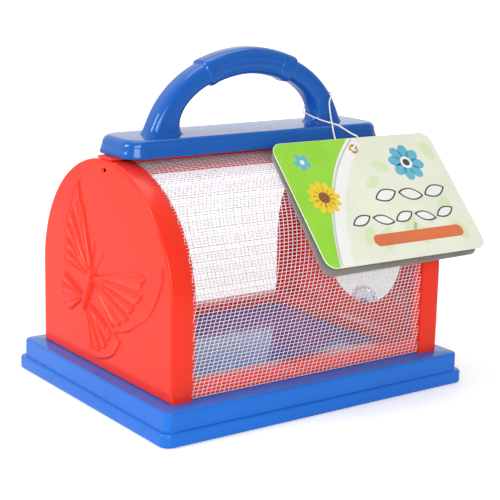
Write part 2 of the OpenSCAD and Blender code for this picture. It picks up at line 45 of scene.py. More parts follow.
# places that several pieces share, in millimetres
cageSize = {
    "halfLength": 80.5, "archRadius": 60.5, "archHeight": 57.9, "deck": 15.6, "plate": 2.2,
    "flangeDepth": 11.4, "flange": 1.8, "ringTop": 23.0, "ledgeIn": 61.6, "ledgeHalf": 58.0, "capBottom": 119.8,
    "capTop": 128.3,
}


# camera, as the photograph was taken
cameraView = {"azimuth": -36.004, "elevation": 13.187, "roll": 1.368, "distance": 0.71079,
              "target": (0.00506, 0.0, 0.06501), "lens": 100.45}


def addCamera(v):
    az, el, roll = (math.radians(v[k]) for k in ("azimuth", "elevation", "roll"))
    back = Vector((math.sin(az) * math.cos(el), -math.cos(az) * math.cos(el), math.sin(el)))
    level = Vector((math.cos(az), math.sin(az), 0.0))
    up = back.cross(level)
    right = level * math.cos(roll) + up * math.sin(roll)
    top = up * math.cos(roll) - level * math.sin(roll)
    place = Vector(v["target"]) + back * v["distance"]
    data = bpy.data.cameras.new("camera")
    data.lens = v["lens"]
    data.sensor_width = 36.0
    data.clip_start = 0.01
    cam = bpy.data.objects.new("camera", data)
    cam.matrix_world = Matrix([[right[i], top[i], back[i], place[i]] for i in range(3)] + [[0, 0, 0, 1]])
    bpy.context.collection.objects.link(cam)
    bpy.context.scene.camera = cam


print("camera")
addCamera(cameraView)


# small helpers for meshes
def smooth01(x):
    x = np.clip(x, 0.0, 1.0)
    return x * x * (3 - 2 * x)


# angles once round, in count steps
def onceRound(count):
    return [2 * math.pi * i / count for i in range(count)]


# a point on a circle round (cx, cy), as (across, up)
def circlePoint(cx, cy, radius, a):
    return cx + radius * math.cos(a), cy + radius * math.sin(a)


# parts is a list of (points in millimetres, faces)
def makeObject(name, parts, material, body=cage, replaces=(), sharpAngle=40.0):
    points, faces = [], []
    for partPoints, partFaces in parts:
        offset = sum(len(q) for q in points)
        points.append(np.asarray(partPoints, float))
        faces += [[i + offset for i in face] for face in partFaces]
    mesh = bpy.data.meshes.new(name)
    mesh.from_pydata((np.concatenate(points) * mm).tolist(), [], faces)
    mesh.materials.append(material)
    mesh.polygons.foreach_set("use_smooth", [p.area < flatArea for p in mesh.polygons])
    mesh.validate()
    mesh.set_sharp_from_angle(angle=math.radians(sharpAngle))
    obj = bpy.data.objects.new(name, mesh)
    bpy.context.collection.objects.link(obj)
    settle(obj, body, replaces)
    return obj


def settle(obj, body=cage, replaces=()):
    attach(obj, body)
    if replaces:
        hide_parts(*replaces)


# a skin over rings with equally many points; closed joins the last ring to the first
def skinRings(rings, closed=False):
    rings = [np.asarray(r, float) for r in rings]
    n, k = len(rings), len(rings[0])
    faces = []
    for i in range(n if closed else n - 1):
        a, b = i * k, ((i + 1) % n) * k
        faces += [[a + j, a + (j + 1) % k, b + (j + 1) % k, b + j] for j in range(k)]
    if not closed:
        faces.append(list(range(k))[::-1])
        faces.append([(n - 1) * k + j for j in range(k)])
    return np.concatenate(rings), faces


# a rounded rectangle, anticlockwise seen from above
def roundedRing(halfL, halfW, radius, z, steps=10):
    ring = []
    for sx, sy, start in ((1, -1, -90), (1, 1, 0), (-1, 1, 90), (-1, -1, 180)):
        for i in range(steps + 1):
            a = math.radians(start + 90 * i / steps)
            ring.append((*circlePoint(sx * (halfL - radius), sy * (halfW - radius), radius, a), z))
    return ring


# a block with rounded edges
def softBlock(low, high, radius=0.5, steps=3):
    bm = bmesh.new()
    bmesh.ops.create_cube(bm, size=1.0)
    size = np.subtract(high, low)
    middle = np.add(high, low) / 2
    for v in bm.verts:
        v.co = Vector(middle + np.array(v.co) * size)
    bmesh.ops.bevel(bm, geom=bm.edges[:], offset=radius, segments=steps, affect="EDGES", profile=0.5)
    bm.verts.index_update()
    part = ([tuple(v.co) for v in bm.verts], [[v.index for v in f.verts] for f in bm.faces])
    bm.free()
    return part


# a closed shape of revolution; profile is a list of (distance along the axis, radius)
def turned(profile, centre, axis, sides=48):
    axis = Vector(axis).normalized()
    side = axis.orthogonal().normalized()
    other = axis.cross(side)
    rings = []
    for along, radius in profile:
        middle, out = Vector(centre) + axis * along, max(radius, 1e-4)
        rings.append([tuple(middle + (side * math.cos(a) + other * math.sin(a)) * out) for a in onceRound(sides)])
    return skinRings(rings)


# small helpers for materials
def newMaterial(name):
    mat = bpy.data.materials.new(name)
    mat.use_nodes = True
    tree = mat.node_tree
    return mat, tree, tree.nodes["Principled BSDF"]


# sets a node's inputs: given maps an input's name or number to a value or to another node's output
def plug(tree, node, given):
    for key, value in given.items():
        socket = node.inputs[key]
        if isinstance(value, bpy.types.NodeSocket):
            tree.links.new(value, socket)
        else:
            socket.default_value = value


def addNode(tree, kind, given=None, **settings):
    node = tree.nodes.new(kind)
    for key, value in settings.items():
        setattr(node, key, value)
    plug(tree, node, given or {})
    return node


# noise on Object coordinates whose features are about size metres across
def objectNoise(tree, size, detail=3.0, roughness=0.5):
    place = addNode(tree, "ShaderNodeTexCoord").outputs["Object"]
    return addNode(tree, "ShaderNodeTexNoise", {"Vector": place, "Scale": 1.0 / size, "Detail": detail,
                                                "Roughness": roughness}).outputs["Fac"]


def ramp(tree, factor, stops):
    node = addNode(tree, "ShaderNodeValToRGB", {"Fac": factor})
    elements = node.color_ramp.elements
    while len(elements) < len(stops):
        elements.new(0.5)
    for element, (place, colour) in zip(elements, stops):
        element.position = place
        element.color = (*colour, 1.0)
    return node.outputs["Color"]


def mapRange(tree, value, low, high, fromLow=0.3, fromHigh=0.7):
    return addNode(tree, "ShaderNodeMapRange", {"Value": value, "From Min": fromLow, "From Max": fromHigh,
                                                "To Min": low, "To Max": high}).outputs["Result"]


def bump(tree, height, strength, distance, normal=None):
    given = {"Height": height, "Strength": strength, "Distance": distance}
    if normal:
        given["Normal"] = normal
    return addNode(tree, "ShaderNodeBump", given).outputs["Normal"]


# glossy moulded plastic: slow colour drift, faint flow and orange-peel, and fine scuffs in the gloss
def mouldedPlastic(name, colour, deep, gloss, roughness, coat):
    mat, tree, shader = newMaterial(name)
    drift = objectNoise(tree, 0.05, 2.0)
    scuffs = objectNoise(tree, 0.006, 5.0, 0.6)
    flow = objectNoise(tree, 0.03, 2.0, 0.4)
    peel = objectNoise(tree, 0.0025, 1.0)
    plug(tree, shader, {
        "Base Color": ramp(tree, drift, [(0.25, deep), (0.75, colour)]),
        "Roughness": mapRange(tree, scuffs, *roughness),
        "Normal": bump(tree, peel, 0.05, 0.00005, bump(tree, flow, 0.2, 0.0008)),
        "Coat Weight": coat, "Coat Roughness": 0.06, "Specular Tint": (*gloss, 1), "IOR": 1.42})
    return mat


plastics = {
    "redPlastic": {"colour": (0.84, 0.032, 0.014), "deep": (0.79, 0.027, 0.012), "gloss": (1.0, 0.62, 0.5),
                   "roughness": (0.13, 0.24), "coat": 0.0},
    "bluePlastic": {"colour": (0.012, 0.157, 0.655), "deep": (0.010, 0.139, 0.600), "gloss": (0.4, 0.75, 1.0),
                    "roughness": (0.08, 0.17), "coat": 0.15},
    # the cap and handle take a darker copy of the base's blue: painted shade for the weaker light on the upper parts,
    # which get less bounce from the floor
    "bluePaintedShadePlastic": {"colour": (0.008, 0.100, 0.440), "deep": (0.007, 0.088, 0.395), "gloss": (0.4, 0.8, 1.0),
                        "roughness": (0.10, 0.20), "coat": 0.3},
}
redPlastic, bluePlastic, bluePaintedShade = (mouldedPlastic(name, **values) for name, values in plastics.items())


def brushedMetal(name, colour, roughness):
    mat, tree, shader = newMaterial(name)
    marks = objectNoise(tree, 0.0006, 4.0, 0.6)
    plug(tree, shader, {
        "Base Color": ramp(tree, marks, [(0.3, tuple(c * 0.8 for c in colour)), (0.7, colour)]),
        "Roughness": mapRange(tree, marks, *roughness), "Normal": bump(tree, marks, 0.2, 0.00003), "Metallic": 1.0})
    return mat


steel = brushedMetal("platedSteel", (0.62, 0.62, 0.64), (0.22, 0.4))
brass = brushedMetal("eyeletBrass", (0.72, 0.50, 0.22), (0.18, 0.34))


# tag string: the route that the CAD string follows
tagString = {
    "diameter": 0.8, "sides": 15, "plies": 3, "plyDepth": 0.13, "turnLength": 2.2, "smoothing": 9,
    "route": [
        (46.5, 9, 137.4), (49.4, 7.5, 139.6), (50.9, 6.2, 141.6), (51.4, 3.3, 143), (51.1, -3.3, 143.5),
        (50.2, -5.9, 143.2), (48.5, -7.4, 141.9), (46.9, -8.2, 139.4), (46.2, -9.6, 135.6),
        (44.8, -12.4, 132), (43.1, -15.6, 129.4), (41.6, -18.6, 126.2), (40.6, -21.6, 122.6),
        (40.8, -24.7, 118.6), (42, -25.6, 116.4), (43.9, -25.8, 114.8), (45.6, -26.4, 115.2),
        (45.9, -27.5, 116.3), (45.9, -28.7, 117.5), (45.9, -29.7, 118.7), (46.3, -30.2, 120.2),
        (47.9, -29.5, 121.9), (50.1, -27.6, 122.9), (51.6, -25.2, 123.8), (50.9, -23, 124.4),
        (48.6, -19.8, 126.4), (45.9, -16.8, 128.6), (42.9, -13, 129.7), (40.6, -9, 130.7),
        (39.1, -4.6, 131.9), (38.7, 0, 132.8), (40.1, 4, 132.3), (41.6, 6.6, 133.7), (45.5, 9.1, 136.4)],
}


# a smooth curve through the points
def glideCurve(points, steps):
    p = np.asarray(points, float)
    out = []
    for i in range(len(p) - 1):
        a, b, c, d = p[max(0, i - 1)], p[i], p[i + 1], p[min(len(p) - 1, i + 2)]
        for k in range(steps):
            t = k / steps
            bend, twist = 2 * a - 5 * b + 4 * c - d, 3 * b - a - 3 * c + d
            out.append((2 * b + (c - a) * t + bend * t * t + twist * t ** 3) / 2)
    out.append(p[-1])
    return np.array(out)


# a tube along the path; with plies, a laid string whose plies turn once in turnLength
def cordTube(path, radius, sides, plies=0, plyDepth=0.0, turnLength=1.0):
    path = np.asarray(path, float)
    way = np.gradient(path, axis=0)
    way /= np.linalg.norm(way, axis=1)[:, None]
    up = np.array([0.0, 0.0, 1.0])
    far = 0.0
    rings = []
    for i, (p, w) in enumerate(zip(path, way)):
        up = up - w * up.dot(w)
        up /= np.linalg.norm(up)
        side = np.cross(w, up)
        if i:
            far += np.linalg.norm(p - path[i - 1])
        ring = []
        for a in onceRound(sides):
            ply = abs(math.cos(plies * a / 2 - math.pi * plies * far / turnLength))
            r = radius - (radius * plyDepth * (1 - ply) if plies else 0.0)
            ring.append(p + r * (up * math.cos(a) + side * math.sin(a)))
        rings.append(ring)
    return skinRings(rings)


def stringMaterial():
    mat, tree, shader = newMaterial("whiteString")
    fibres = objectNoise(tree, 0.00025, 5.0, 0.7)
    plug(tree, shader, {"Base Color": ramp(tree, fibres, [(0.3, (0.72, 0.72, 0.70)), (0.65, (0.92, 0.92, 0.90))]),
                        "Normal": bump(tree, fibres, 0.4, 0.00006), "Roughness": 0.7, "Sheen Weight": 0.2})
    return mat


print("tag string")
whiteString = stringMaterial()
stringPath = glideCurve(tagString["route"], tagString["smoothing"])
stringPiece = makeObject("tagStringLaid", [cordTube(stringPath, tagString["diameter"] / 2, tagString["sides"],
                         tagString["plies"], tagString["plyDepth"], tagString["turnLength"])],
                         whiteString, cage, ["tag_string"], 180.0)

knot = {"middle": (46.0, 9.2, 136.9), "size": 0.62, "strand": 0.36, "sides": 12, "points": 96}


# a trefoil: the way that an overhand knot's string runs
def knotPath(k):
    path = []
    for i in range(k["points"] + 1):
        t = 2 * math.pi * i / k["points"]
        x = math.sin(t) + 1.35 * math.sin(2 * t)
        y = math.cos(t) - 1.35 * math.cos(2 * t)
        z = -math.sin(3 * t) * 0.9
        path.append(np.array(k["middle"]) + k["size"] * 0.55 * np.array([x, z, y]))
    return path


knotPiece = makeObject("stringKnotTied", [cordTube(knotPath(knot), knot["strand"], knot["sides"])],
                       whiteString, cage, ["string_knot"], 180.0)


# base: a two-step moulded tray, hollow below
baseTray = {
    "half": (90.7, 71.5), "corner": 5.0, "stepTop": 6.5, "stepIn": 2.2, "edge": 1.3, "wall": 2.4,
    "floorHalf": (61.3, 48.9), "floorTop": 18.0, "screwAt": (71.05, 32.93), "boss": 5.3, "screwHole": 3.1,
    "screwSeat": 10.2, "seatBore": 1.7, "bossFoot": 2.4,
}


def baseParts(b):
    (hl, hw), r, e, w = b["half"], b["corner"], b["edge"], b["wall"]
    up, step = b["stepIn"], b["stepTop"]
    deck = cageSize["deck"]
    fl, fw = b["floorHalf"]
    profile = [  # (inset from the lower step's outline, height)
        (up + w + 0.6, deck - w), (up + w, deck - w - 0.6), (up + w, 1.0), (up + w - 0.25, 0.25),
        (up + w - 0.8, 0.0), (0.9, 0.0), (0.35, 0.12), (0.05, 0.5), (0.0, 0.9), (0.0, step - e),
        (0.08, step - e * 0.62), (0.3, step - e * 0.3), (0.65, step - e * 0.08), (1.1, step),
        (up - 0.25, step + 0.02), (up - 0.06, step + 0.12), (up, step + 0.4), (up + 0.1, deck - e * 1.2),
        (up + 0.18, deck - e * 0.7), (up + 0.42, deck - e * 0.3), (up + 0.85, deck - e * 0.08), (up + 1.4, deck)]
    rings = [roundedRing(hl - i, hw - i, max(r - i * 0.5, 1.5), z) for i, z in profile]
    for inset, z in ((-0.7, deck), (0.0, deck + 0.15), (0.0, b["floorTop"] - 0.7), (0.2, b["floorTop"] - 0.2),
                     (0.7, b["floorTop"])):
        rings.append(roundedRing(fl - inset, fw - inset, 2.0, z))
    under = [roundedRing(fl - w, fw - w, 2.0, b["floorTop"] - w), roundedRing(fl - w, fw - w, 2.0, deck - w)]
    parts = [skinRings(under + rings)]
    outer, hole, foot = b["boss"], b["screwHole"], b["bossFoot"]
    tube = [(deck - w + 0.3, hole), (foot + 0.4, hole), (foot, hole + 0.35), (foot, outer - 0.3), (foot + 0.3, outer),
            (deck - w + 0.3, outer)]
    seat = [(b["screwSeat"], hole + 0.1), (b["screwSeat"], b["seatBore"]), (deck - w + 0.2, b["seatBore"]),
            (deck - w + 0.2, hole + 0.1)]
    for x in (-b["screwAt"][0], b["screwAt"][0]):
        for y in (-b["screwAt"][1], b["screwAt"][1]):
            for outline in (tube, seat):
                rims = [[(*circlePoint(x, y, radius, a), z) for a in onceRound(40)] for z, radius in outline]
                parts.append(skinRings(rims, closed=True))
    return parts


print("base")
makeObject("baseTrayMoulded", baseParts(baseTray), bluePlastic, cage, ["base_tray"], 50.0)


# end panels: an arched plate with a rolled flange, a ledge inside, and the butterfly relief on the left one
endPanel = {
    "edge": 1.1, "sidePoints": 90, "archPoints": 280, "bottomPoints": 160, "rings": 124, "doorway": 33.5,
    "doorwayHeight": 61.3, "slotHalf": 1.8, "slotLow": 111.9, "slotHigh": 114.5, "slotDepth": 0.8,
}


# the panel's outline in (y, z), seen from outside the +X end, anticlockwise
def archOutline(inset, p):
    r = cageSize["archRadius"] - inset
    low = cageSize["deck"] + inset
    zc = cageSize["archHeight"]
    out = [(-r + 2 * r * i / p["bottomPoints"], low) for i in range(p["bottomPoints"])]
    out += [(r, low + (zc - low) * i / p["sidePoints"]) for i in range(p["sidePoints"])]
    out += [(r * math.cos(math.pi * i / p["archPoints"]), zc + r * math.sin(math.pi * i / p["archPoints"]))
            for i in range(p["archPoints"])]
    out += [(-r, zc - (zc - low) * i / p["sidePoints"]) for i in range(p["sidePoints"])]
    return np.array(out)


# the outline drawn in towards a circle of that radius round the centre
def towardsCentre(outline, centre, share, radius=0.0):
    d = outline - centre
    inner = centre + d / np.linalg.norm(d, axis=1)[:, None] * radius
    return outline + (inner - outline) * share


# how far the small slot near the top is sunk, where the ridge beam's latch shows
def slotDepth(ring, p):
    y, z = ring[:, 0], ring[:, 1]
    across = smooth01((p["slotHalf"] - np.abs(y)) / 0.3 + 0.5)
    up = smooth01((z - p["slotLow"]) / 0.3 + 0.5) * smooth01((p["slotHigh"] - z) / 0.3 + 0.5)
    return p["slotDepth"] * across * up


def noRelief(u, z):
    return np.zeros_like(u)


# rings of a panel's shell, from inside the plate round the flange and over the outer face
def panelRings(p, side, relief=noRelief, doorway=None):
    half = cageSize["halfLength"]
    plate, depth, wall, e = cageSize["plate"], cageSize["flangeDepth"], cageSize["flange"], p["edge"]
    centre = np.array([0.0, p["doorwayHeight"]])
    profile = [(plate, wall + 0.7), (plate + 0.2, wall + 0.2), (plate + 0.7, wall), (depth - 0.6, wall),
               (depth - 0.15, wall - 0.15), (depth, wall - 0.55), (depth, 0.55), (depth - 0.15, 0.15),
               (depth - 0.6, 0.0), (e, 0.0), (e * 0.62, e * 0.08), (e * 0.3, e * 0.3), (e * 0.08, e * 0.62), (0.0, e)]
    rings = []

    def add(outline, inward, lift=None):
        x = side * (half - inward) + (side * lift if lift is not None else 0.0)
        rings.append(np.column_stack([np.full(len(outline), 1.0) * x, outline[:, 0], outline[:, 1]]))

    hole = doorway or 0.05
    lipIn = [(1.0, plate)] if not doorway else [(1.0, plate - 0.3), (0.992, plate)]
    for share, inward in lipIn:
        add(towardsCentre(archOutline(wall + 0.7, p), centre, share, hole), inward)
    for inward, inset in profile:
        add(archOutline(inset, p), inward)
    face = archOutline(e, p)
    steps = p["rings"] if not doorway else 60
    last = 0.992 if doorway else 1.0
    for i in range(1, steps + 1):
        ring = towardsCentre(face, centre, last * i / steps, hole)
        add(ring, 0.0, relief(ring[:, 0] * side, ring[:, 1]) - slotDepth(ring, p))
    if doorway:
        add(towardsCentre(face, centre, 1.0, hole), 0.3)
    return rings


# butterfly relief, measured in the plane of the left panel: u to the right as seen from outside, z up
butterfly = {
    "middle": (-14.2, 52.2), "tilt": 24.3, "bodyLength": 25.0, "bodyWidth": 5.2, "rise": 1.75,
    "upperRoot": (0.0, 8.6), "upperFrom": 39.2, "upperTo": -26.0,
    "upperReach": [(0.0, 48.0), (0.05, 49.0), (0.2, 48.0), (0.32, 43.5), (0.42, 39.5), (0.58, 36.6),
                   (0.75, 32.5), (0.94, 28.9), (1.0, 27.0)],
    "upperGround": [(0.0, 65.5), (0.06, 65.5), (0.13, 62.8), (0.33, 54.2), (0.55, 43.6), (0.87, 33.2),
                    (1.0, 31.5)],
    "lowerRoot": (1.2, -5.0), "lowerFrom": 2.0, "lowerTo": -63.0,
    "lowerReach": [(0.0, 23.0), (0.14, 27.0), (0.42, 26.8), (0.77, 25.2), (1.0, 22.0)],
    "lowerGround": [(0.0, 34.0), (0.05, 34.3), (0.3, 33.0), (0.55, 30.2), (0.8, 28.0), (0.95, 26.1),
                    (1.0, 25.0)],
    "upperFlutes": 6, "lowerFlutes": 4,
}
farButterfly = dict(  # the half beyond the body
    butterfly, upperFrom=49.5, upperTo=-28.0, lowerFrom=0.0, lowerTo=-60.0,
    upperReach=[(0.0, 37.5), (0.07, 37.5), (0.2, 36.0), (0.36, 32.5), (0.64, 26.6), (0.95, 23.5), (1.0, 22.0)],
    upperGround=[(0.0, 47.2), (0.05, 46.8), (0.13, 42.0), (0.22, 38.7), (0.38, 34.9), (0.62, 29.3), (0.97, 25.6),
                 (1.0, 24.0)],
    lowerReach=[(0.0, 21.5), (0.1, 22.5), (0.6, 22.2), (0.85, 20.3), (1.0, 16.0)],
    lowerGround=[(0.0, 22.7), (0.1, 23.7), (0.6, 23.4), (0.85, 21.5), (1.0, 17.2)])


# share across a wing's sweep, distance from its root and that distance over its reach there
def sector(x, y, root, a0, a1, reach):
    dx, dy = x - root[0], y - root[1]
    angle = np.degrees(np.arctan2(dy, dx))
    share = (a0 - angle) / (a0 - a1)
    far = np.hypot(dx, dy)
    edge = np.interp(np.clip(share, 0, 1), [s for s, _ in reach], [r for _, r in reach])
    return share, far, far / edge, edge


# height of one side's wings, in body coordinates with x away from the body
def wingHeight(x, y, b):
    height = np.zeros_like(x)
    for kind, flutes in (("lower", b["lowerFlutes"]), ("upper", b["upperFlutes"])):
        root, a0, a1 = b[kind + "Root"], b[kind + "From"], b[kind + "To"]
        share, far, ratio, edge = sector(x, y, root, a0, a1, b[kind + "Reach"])
        sweep = math.radians(a0 - a1) * far
        across, beyond = share * sweep, (1 - share) * sweep  # distances from the wing's two straight edges
        held = np.clip(share, 0, 1)
        scallop = 1 - 0.06 * (1 - np.abs(np.sin(math.pi * flutes * held)))
        within = smooth01(across / 0.6 + 0.3) * smooth01(beyond / 0.7 + 0.2)
        inside = smooth01((edge * scallop - far) / 0.7) * within
        flute = np.abs(np.sin(math.pi * flutes * held)) ** 0.8
        swell = smooth01(far / (edge * 0.3)) * (0.7 + 0.3 * ratio.clip(0, 1))
        wing = inside * (0.68 + b["rise"] * 0.62 * flute * swell)
        groundEdge = sector(x, y, root, a0, a1, b[kind + "Ground"])[3]
        step = smooth01((groundEdge - far) / 0.7) * within
        rim = np.exp(-((far - groundEdge + 0.9) / 0.5) ** 2) * within
        wing = np.maximum(wing, step * 0.6 + rim * 0.4)
        if kind == "upper":
            leading = np.exp(-((across - 0.5) / 0.65) ** 2) * smooth01((groundEdge - far) / 1.2)
            wing = wing + leading * (far > 2.5) * 0.5
        height = np.maximum(height, wing)
    return height


def butterflyHeight(u, z):
    b = butterfly
    t = math.radians(b["tilt"])
    du, dz = u - b["middle"][0], z - b["middle"][1]
    x = du * math.cos(t) - dz * math.sin(t)
    y = du * math.sin(t) + dz * math.cos(t)
    near = np.where(x > 0, wingHeight(np.abs(x), y, b), 0.0)
    far = np.where(x <= 0, wingHeight(np.abs(x), y, farButterfly), 0.0)
    height = np.maximum(near, far)
    half, wide = b["bodyLength"] / 2, b["bodyWidth"] / 2
    waist = wide * (0.74 + 0.26 * np.cos((y - 2.0) / half * 1.9))
    inBody = np.clip(1 - (x / np.maximum(waist, 0.4)) ** 2, 0, 1) * (np.abs(y) < half)
    body = np.sqrt(inBody) * 2.0 * smooth01((half - np.abs(y)) / 2.0)
    height = np.maximum(height, body)
    for side in (-1, 1):  # feelers
        along = (y - half + 1.0)
        line = side * (0.8 + along * 0.30)
        height = np.maximum(height, 0.45 * np.exp(-((x - line) / 0.5) ** 2) * (along > 0) * (along < 13.5))
    return height


def panelLedge(side):
    s = cageSize
    x0, x1 = sorted((side * s["ledgeIn"], side * (s["halfLength"] - s["plate"] + 0.4)))
    return softBlock((x0, -s["ledgeHalf"], s["deck"] + 0.05), (x1, s["ledgeHalf"], s["ringTop"]), 0.5)


def orient(part, flip):
    return (part[0], [f[::-1] for f in part[1]]) if flip else part


print("end panels")
leftRings = panelRings(endPanel, -1, butterflyHeight)
leftShell = skinRings(leftRings)
makeObject("leftPanelMoulded", [leftShell, panelLedge(-1)], redPlastic, cage,
           ["left_end_panel"], 50.0)
rightRings = panelRings(endPanel, 1, noRelief, endPanel["doorway"])
rightShell = orient(skinRings(rightRings, closed=True), True)
makeObject("rightPanelMoulded", [rightShell, panelLedge(1)], redPlastic, cage,
           ["right_end_panel"], 50.0)

sideRail = {"half": 61.55, "inner": 49.4, "edge": 0.6}

print("rails")
for railName, side in (("front_rail", -1), ("back_rail", 1)):
    yLow, yHigh = sorted((side * sideRail["inner"], side * cageSize["ledgeHalf"]))
    block = softBlock((-sideRail["half"], yLow, cageSize["deck"] + 0.05),
                      (sideRail["half"], yHigh, cageSize["ringTop"]), sideRail["edge"])
    makeObject(railName.replace("_rail", "RailMoulded"), [block], redPlastic, cage, [railName])


# roof cap: a shallow lid with leaning sides and a rounded top edge
roofCap = {"half": (76.9, 17.6), "corner": 10.0, "lean": 1.2, "edge": 1.8, "end": 3.8, "wall": 2.0}


# how far an edge of that radius stands in at a depth under its top
def roundIn(radius, depth):
    return 0.0 if depth >= radius else radius - math.sqrt(depth * (2 * radius - depth))


def capParts(c):
    (hl, hw), r, lean, e, n, w = (c[k] for k in ("half", "corner", "lean", "edge", "end", "wall"))
    low, top = cageSize["capBottom"], cageSize["capTop"]
    profile = [(lean + e + w, lean + n + w, top - w), (lean + w + 0.4, lean + w + 1.6, top - w - 0.5),
               (w + 0.2, w + 0.2, low + 0.6), (w - 0.3, w - 0.3, low), (0.45, 0.45, low),
               (0.1, 0.1, low + 0.15), (0.0, 0.0, low + 0.5), (lean * 0.5, lean * 0.5, (low + 0.5 + top - n) / 2)]
    for i in range(15):
        depth = n * (1 - math.sin(math.radians(90 * i / 14)))
        profile.append((lean + roundIn(e, depth), lean + roundIn(n, depth), top - depth))
    rings = [roundedRing(hl - ends, hw - sides, max(r - sides * 0.7, 3.0), z, 14) for sides, ends, z in profile]
    return [skinRings(rings)]


print("roof cap")
makeObject("roofCapMoulded", capParts(roofCap), bluePaintedShade, cage, ["roof_cap"], 60.0)


# carry handle: two legs, a thicker grip with stepped ends and a sunk, grooved panel on both faces
carryHandle = {
    "halfSpan": 48.5, "rise": 33.4, "power": 1.08, "footWidth": 19.0, "legWidth": 11.0, "gripWidth": 13.4,
    "thick": 13.8, "legStart": 31.8, "gripEnd": 33.8, "stepAngle": 1.1, "panelEnd": 24.0,
    "panelHalf": 0.64, "panelDeep": 0.75, "grooves": 3, "section": 0.60, "sides": 132, "rings": 300, "flare": 1.0,
}


def handleRings(h):
    rings = []
    top = cageSize["capTop"]
    for i in range(h["rings"] + 1):
        a = -90 + 180 * i / h["rings"]
        rad = math.radians(a)
        share = abs(math.sin(rad))
        along = h["halfSpan"] * math.copysign(share ** h["power"], a)
        middle = np.array([along, 0.0, top + h["rise"] * math.cos(rad)])
        slope = h["halfSpan"] * h["power"] * max(share, 0.001) ** (h["power"] - 1)
        way = np.array([slope * math.cos(rad), 0.0, -h["rise"] * math.sin(rad)])
        way /= np.linalg.norm(way)
        out = np.array([-way[2], 0.0, way[0]])
        u = max(0.0, (abs(a) - h["legStart"]) / (90 - h["legStart"]))
        grip = float(smooth01((h["gripEnd"] - abs(a)) / h["stepAngle"] + 0.5))
        leg = (h["legWidth"] + (h["footWidth"] - h["legWidth"]) * u ** 4) / 2
        wide = leg * (1 - grip) + h["gripWidth"] / 2 * grip
        thick = h["thick"] / 2 - 0.45 * (1 - grip)
        foot = h["flare"] * math.exp(-(middle[2] - top) / 1.1)
        wide, thick = wide + foot, thick + foot * 0.8
        shoulder = math.exp(-((abs(a) - h["gripEnd"] + 3.0) / 2.2) ** 2) * 0.35
        inPanel = float(smooth01((h["panelEnd"] - abs(a)) / 1.0 + 0.5))
        ring = []
        for t in onceRound(h["sides"]):
            c, s = math.cos(t), math.sin(t)
            across = math.copysign(abs(c) ** h["section"], c)
            face = math.copysign(abs(s) ** h["section"], s)
            w = wide + shoulder * (1.0 if across < 0 else 0.35)
            sunk = float(smooth01((h["panelHalf"] - abs(across)) / 0.07 + 0.5)) * inPanel
            groove = 0.16 * (1 - math.cos(2 * math.pi * h["grooves"] * across / (2 * h["panelHalf"]))) * sunk
            y = thick * face - math.copysign(1.0, s) * sunk * (h["panelDeep"] - groove) * (abs(s) > 0.05)
            ring.append(middle + out * (w * across) + np.array([0.0, -y, 0.0]))
        rings.append(ring)
    return rings


print("carry handle")
handleShell = skinRings(handleRings(carryHandle))
makeObject("carryHandleMoulded", [handleShell], bluePaintedShade, cage, ["carry_handle"], 50.0)


# netting: a leaning weave over front, roof and back, made by Geometry Nodes
netting = {
    "pitchAlong": 2.53, "pitchRound": 1.70, "lean": 0.283, "halfWidth": 77.6, "radius": 58.40,
    "strandAlong": 0.16, "strandRound": 0.16, "weave": 0.12, "footAboveDeck": 0.3,
}


